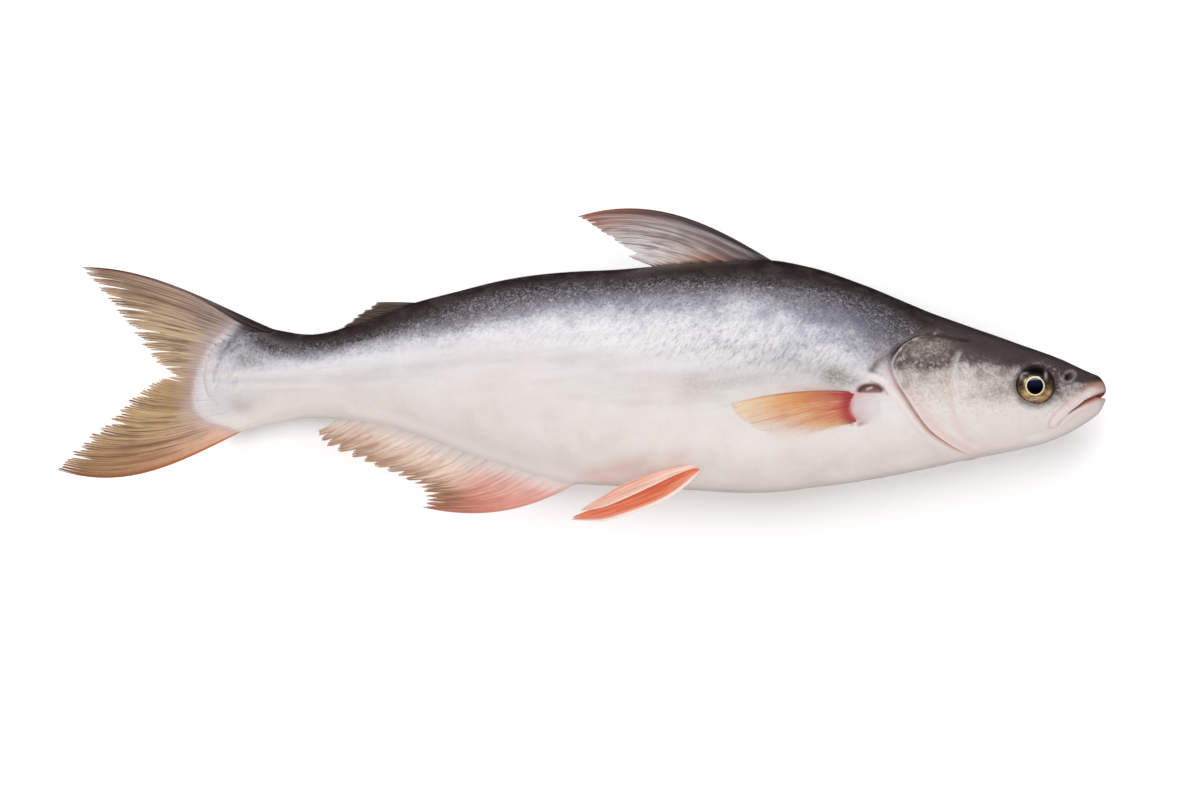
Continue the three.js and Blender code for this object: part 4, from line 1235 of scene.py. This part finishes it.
# %% A fin's finish
def fin_finish(pieces, lead, trail, edge, line, straw=(222, 196, 156), edge_width=0.04, rays=14,
               streaks=0.7, torn=0.06, clear=0.0, dots=0.2, bare=(2.0, -3.0), ring=0.0, beads=0.0,
               gain=1.0, deep=0.0, tanned=0.0, soft_root=0.0, calm=8.0):
    """Lead, trail and edge are colours from the root to the tip, on the first rays, on the last rays and
    along the leading edge. Line and straw are the dark and the light streaks, and streaks is how strong
    they are. Torn and clear say how much of the tips is torn between rays or see-through. Bare says how
    many millimetres beyond the trunk its skin fades out, and calm where the streaks reach their full
    strength. Ring is the pale arc at the tail's root, and beads are pale ends of muscle at a fin's base.
    Deep is how much wider the leading edge is at the root, tanned is how brown the streaks at the tips
    are, soft_root is how much the fin takes the red and the lilac of its lobe, and dots are dark dust."""
    finish = Finish(pieces[0].name + " skin", Subsurface_Weight=0.15, Subsurface_Scale=0.002,
                    Specular_IOR_Level=0.3, Coat_Weight=0.12, Coat_Roughness=0.2)
    across, outward, ridge = finish.mask("across"), finish.mask("outward"), finish.mask("ridge")
    beyond = finish.mask("beyond")
    few, stripe, strand, dash, hair, cloud, dust = fan_patterns(finish, rays)
    place = outward + (cloud - 0.5) * 0.25 + (strand - 0.5) * 0.2
    shares = (0.0, 0.25, 0.6, 1.0)
    lead_colour = painted(finish, place, zip(shares, lead), gain)
    trail_colour = painted(finish, place, zip(shares, trail), gain)
    colour = finish.mix(finish.step(across + (cloud - 0.5) * 0.3, 0.08, 0.5), lead_colour, trail_colour)
    grown = finish.step(beyond, 1.0, calm) * streaks * finish.step(across, 0.0, 0.4, 0.4, 1.0)
    at_base = finish.step(beyond + (strand - 0.5) * 6, 10.0, 2.0) * finish.step(beyond, -3.0, 1.0)
    bead = finish.step(few, 0.25, 0.8, 0.4, 1.0) * finish.step(strand, 0.3, 0.5, 0.4, 1.0) * at_base
    front = finish.step(across, 0.65, 0.25, 0.3, 1.0)
    browned = finish.step(dash, 0.42, 0.54) * finish.step(outward, 0.58, 0.88) * front
    colour = layered(finish, colour, [
        (finish.step(beyond + (cloud - 0.5) * 8, 16.0, 3.0) * ring * 0.6, (196, 178, 182)),
        (finish.step(strand, 0.5, 0.62) * grown * 0.62, line),
        (finish.step(strand, 0.5, 0.38) * grown * 0.5, straw),
        (finish.step(stripe, 0.6, 1.0) * grown * 0.4, straw),
        (finish.step(stripe, 0.4, 0.0) * grown * finish.step(strand, 0.3, 0.6, 0.1, 0.7), line),
        (finish.step(dash, 0.52, 0.62) * grown * 0.85, line),
        (finish.step(dash, 0.46, 0.36) * grown * 0.6, straw),
        (finish.step(dust, 0.6, 0.72) * dots, (92, 66, 54)),
        (bead * beads, (255, 249, 245)),
        (browned * tanned, (136, 96, 66)),
    ], gain)
    from_edge = across + (hair - 0.5) * 0.02 - finish.step(outward, 0.5, 0.05) * deep
    colour = finish.mix(finish.step(from_edge, edge_width, edge_width * 0.3), colour,
                        painted(finish, outward, zip(shares, edge), gain))
    colour = layered(finish, colour, [
        (finish.step(beyond + (hair - 0.5) * 3, 9.0, 3.4) * soft_root * 0.75, (176, 56, 66)),
        (finish.step(beyond + (hair - 0.5) * 2.4, 3.0, 0.6) * soft_root * 0.8, (214, 160, 164)),
    ], gain)
    bare_skin = painted(finish, finish.mask("skin_tone") + (cloud - 0.5) * 0.1 + (hair - 0.5) * 0.1,
                        TRUNK_COLOURS)
    colour = finish.mix(finish.step(beyond + (hair - 0.5) * 3, bare[0], bare[1]), colour, bare_skin)
    arc = finish.step(abs(beyond + (hair - 0.5) * 4), 5.0, 1.0) * finish.step(across, 0.1, 0.5) * ring
    colour = layered(finish, colour, [(arc * finish.step(dust, 0.4, 0.6, 1.0, 0.5), (236, 228, 230))], gain)
    gaps = finish.step(outward + (strand - 0.5) * 0.2, 1 - torn * 2, 1.0) * finish.step(stripe, 0.3, 0.9)
    film = finish.step(outward, 0.35, 1.0) * finish.step(across, 0.08, 0.6) * clear
    rough = finish.step(strand, 0.3, 0.7, 0.32, 0.5)
    finish.feed(Base_Color=colour, Roughness=rough, Alpha=(1 - gaps * 0.85) * (1 - film),
                Normal=finish.bump(stripe, 0.25, 0.0002, finish.bump(ridge, 0.2, 0.0003)))
    for piece in pieces:
        piece.data.materials.append(finish.material)
    print(finish.material.name, "has", len(finish.tree.nodes), "nodes")


# %% The tail's colours
fin_finish([tail_upper],
           lead=[(112, 100, 106), (152, 130, 128), (168, 136, 116), (128, 98, 80)],
           trail=[(198, 188, 192), (196, 170, 158), (190, 160, 134), (206, 178, 142)],
           edge=[(52, 42, 42), (56, 42, 40), (96, 72, 62), (64, 46, 40)], line=(70, 49, 43),
           edge_width=0.035, bare=(3, -3), ring=0.85, deep=0.15, calm=18.0)
fin_finish([tail_lower],
           lead=[(240, 220, 212), (248, 198, 170), (188, 136, 102), (150, 116, 80)],
           trail=[(220, 206, 208), (228, 206, 192), (184, 144, 102), (200, 168, 124)],
           edge=[(216, 184, 168), (212, 116, 76), (166, 108, 74), (126, 96, 68)], line=(76, 52, 40),
           edge_width=0.03, bare=(3, -3), ring=0.85, calm=30.0)

# %% The colours of the fins on the back
fin_finish([back_fin],
           lead=[(88, 74, 76), (126, 110, 112), (158, 142, 142), (158, 114, 96)],
           trail=[(152, 94, 72), (168, 120, 98), (224, 212, 210), (228, 224, 226)],
           edge=[(40, 31, 31), (44, 33, 33), (66, 48, 44), (140, 92, 72)], line=(104, 72, 62),
           straw=(220, 212, 214), edge_width=0.05, rays=5, streaks=0.8, torn=0.02, clear=0.35, dots=0.15,
           bare=(1.5, -1))
fin_finish([fleshy_fin],
           lead=[(60, 51, 50), (68, 55, 50), (82, 63, 53), (98, 76, 62)],
           trail=[(56, 47, 46), (64, 52, 48), (80, 62, 52), (92, 72, 60)],
           edge=[(66, 56, 58), (72, 60, 58), (76, 60, 54), (84, 64, 54)], line=(46, 34, 32),
           straw=(112, 92, 80), rays=8, bare=(1.5, -1))

# %% The colours of the fins below
# A gain over 1 brightens a fin's colours: painted light that makes up for the shade the fin lies in.
fin_finish([vent_fin],
           lead=[(250, 236, 232), (236, 174, 162), (208, 128, 110), (176, 120, 92)],
           trail=[(242, 230, 224), (240, 220, 210), (222, 194, 174), (178, 146, 114)],
           edge=[(244, 218, 208), (226, 160, 146), (204, 134, 116), (160, 116, 94)],
           line=(176, 126, 102), straw=(248, 228, 216), edge_width=0.02, rays=17, streaks=0.45, torn=0.03,
           dots=0.08, bare=(6, -3), beads=0.3, gain=1.06, tanned=0.9)
fin_finish([breast_right, breast_left],
           lead=[(150, 44, 54), (186, 72, 64), (226, 164, 102), (240, 224, 196)],
           trail=[(160, 56, 60), (204, 110, 82), (228, 180, 136), (238, 224, 208)],
           edge=[(110, 64, 60), (124, 76, 62), (184, 124, 84), (238, 208, 170)], line=(206, 108, 76),
           straw=(242, 214, 172), edge_width=0.04, rays=7, streaks=0.4, torn=0.02, clear=0.9, dots=0.03,
           bare=(-20, -30), soft_root=1.0)
fin_finish([belly_right],
           lead=[(250, 236, 230), (248, 212, 194), (242, 190, 164), (236, 194, 170)],
           trail=[(246, 230, 222), (244, 206, 190), (240, 190, 170), (240, 188, 168)],
           edge=[(250, 238, 232)] * 4, line=(226, 132, 104), straw=(250, 230, 220), edge_width=0.14,
           rays=4, streaks=0.7, torn=0.02, dots=0.03, gain=1.15)
fin_finish([belly_left],
           lead=[(248, 214, 200), (240, 166, 138), (234, 142, 112), (236, 166, 144)],
           trail=[(214, 92, 56), (220, 104, 66), (226, 124, 88), (228, 138, 108)],
           edge=[(252, 234, 226)] * 4, line=(208, 88, 56), straw=(244, 176, 144), edge_width=0.24,
           rays=4, streaks=0.7, torn=0.02, dots=0.03, gain=1.15)

# %% [markdown]
# ### Eye
# The pupil is almost black inside a thin bright ring, and its upper part is a little blue, a painted
# reflection. The iris is gold with brown sides and grows darker upwards. A clear coat gives the wet cornea
# its small sharp lights, and the larger soft lights of a studio are painted highlights.

# %% The eye's finish
eye = Finish("wet eye", Coat_Weight=1.0, Coat_Roughness=0.03, Roughness=0.35, Specular_IOR_Level=0.1)
reach_wire, lift_wire = eye.mask("reach"), eye.mask("lift")
where = eye.place()
fleck = eye.noise(where, 900, 5, 0.65)
on_iris = eye.node("ShaderNodeCombineXYZ", {}, {0: reach_wire * 0.9, 1: lift_wire * 0.55, 2: 0.0})
rings = eye.noise(on_iris, 1.6, 4)
iris = eye.mix(eye.step(lift_wire, -6.5, 2.0), paint(164, 122, 80), paint(56, 41, 32))
iris = layered(eye, iris, [
    (eye.step(rings, 0.5, 0.6) * 0.6, (78, 58, 42)),
    (eye.mask("gold") * eye.step(fleck, 0.3, 0.5, 0.6, 1.0), (214, 188, 128)),
    (eye.mask("umber") * 0.85, (42, 30, 24)),
    (eye.step(fleck, 0.5, 0.66) * 0.3, (208, 184, 138)),
    (eye.step(fleck, 0.5, 0.36) * 0.4, (74, 54, 38)),
    (eye.step(lift_wire, 2.5, 6.5), (14, 11, 14)),
    (eye.step(reach_wire + (rings - 0.5) * 1.4, 7.8, 9.0), (50, 30, 26)),
    (eye.mask("shine") * 0.8, (190, 184, 186)),
    (eye.step(reach_wire, 4.75, 4.45), (240, 230, 184)),
])
# The blue over the pupil's upper part is a painted reflection.
pupil = eye.mix(eye.step(lift_wire, -1.6, 1.4), paint(2, 3, 10), paint(10, 17, 50))
iris = eye.mix(eye.step(reach_wire, 4.1, 3.85), iris, pupil)
eye.feed(Base_Color=iris)
for ball in eye_balls:
    ball.data.materials.append(eye.material)
print("eye finish has", len(eye.tree.nodes), "nodes")

# %% [markdown]
# ## Table, light and camera
# The photo has a white ground with a faint soft shadow, and soft light that comes mostly from the side of
# the back. Three wide area lights and a bright sky give that. The camera is far away with a long lens,
# because the photo shows almost no perspective.

# %% The table
TABLE_HALF = 12
bm = bmesh.new()
bmesh.ops.create_grid(bm, x_segments=8, y_segments=8, size=TABLE_HALF)
table_mesh = bpy.data.meshes.new("table")
bm.to_mesh(table_mesh)
bm.free()
table = in_scene("table", table_mesh)
table_finish = Finish("white table", Roughness=0.6)
table_finish.shader.inputs["Base Color"].default_value = (0.97, 0.97, 0.97, 1)
table.data.materials.append(table_finish.material)
print("the table is", 2 * TABLE_HALF, "m wide")

# %% The lights
world = bpy.data.worlds.new("studio")
bpy.context.scene.world = world
world.use_nodes = True
sky = world.node_tree.nodes["Background"]
sky.inputs["Color"].default_value = (1.0, 1.0, 1.0, 1)
sky.inputs["Strength"].default_value = 0.6
world.cycles_visibility.glossy = False


def soft_light(name, place, size, power, shines=True):
    """A flat lamp that looks at the fish. One that doesn't shine gives light but no reflection."""
    lamp = bpy.data.lights.new(name, "AREA")
    lamp.shape = "RECTANGLE"
    lamp.size, lamp.size_y = size
    lamp.energy = power
    made = in_scene(name, lamp)
    made.location = place
    made.rotation_euler = (-made.location).to_track_quat("-Z", "Y").to_euler()
    made.visible_glossy = shines
    print(name, "gives", power, "W")


soft_light("overhead", (-0.05, 0.3, 1.25), (0.8, 0.6), 7.2, shines=False)
soft_light("strip", (-0.1, 1.0, 0.95), (1.6, 0.4), 11)
soft_light("fill", (0.3, -1.05, 0.45), (1.4, 0.3), 7, shines=False)
table.visible_glossy = False

# %% The camera
PIXEL = 0.4778
IMAGE_SIZE = (1200, 800)
SNOUT_PIXEL = (1106.5, 380)
FAR = 12.0
SENSOR = 36
camera = bpy.data.cameras.new("camera")
camera_object = in_scene("camera", camera)
bpy.context.scene.camera = camera_object
middle_x = TOTAL_LENGTH / 2 - (SNOUT_PIXEL[0] - IMAGE_SIZE[0] / 2) * PIXEL
middle_y = (SNOUT_PIXEL[1] - IMAGE_SIZE[1] / 2) * PIXEL + AXIS_SHIFT
camera_object.location = (middle_x / 1000, middle_y / 1000, FAR + SPINE_HEIGHT / 1000)
camera.sensor_width = SENSOR
camera.lens = SENSOR * FAR / (IMAGE_SIZE[0] * PIXEL / 1000)
camera.clip_end = 50
bpy.context.scene.view_settings.view_transform = "Standard"
print("lens:", round(camera.lens), "mm")

# %% [markdown]
# The dressed fish has to stay the size of the imported one. The last step brings the scene up to date.

# %% Bring the scene up to date
bpy.context.view_layer.update()
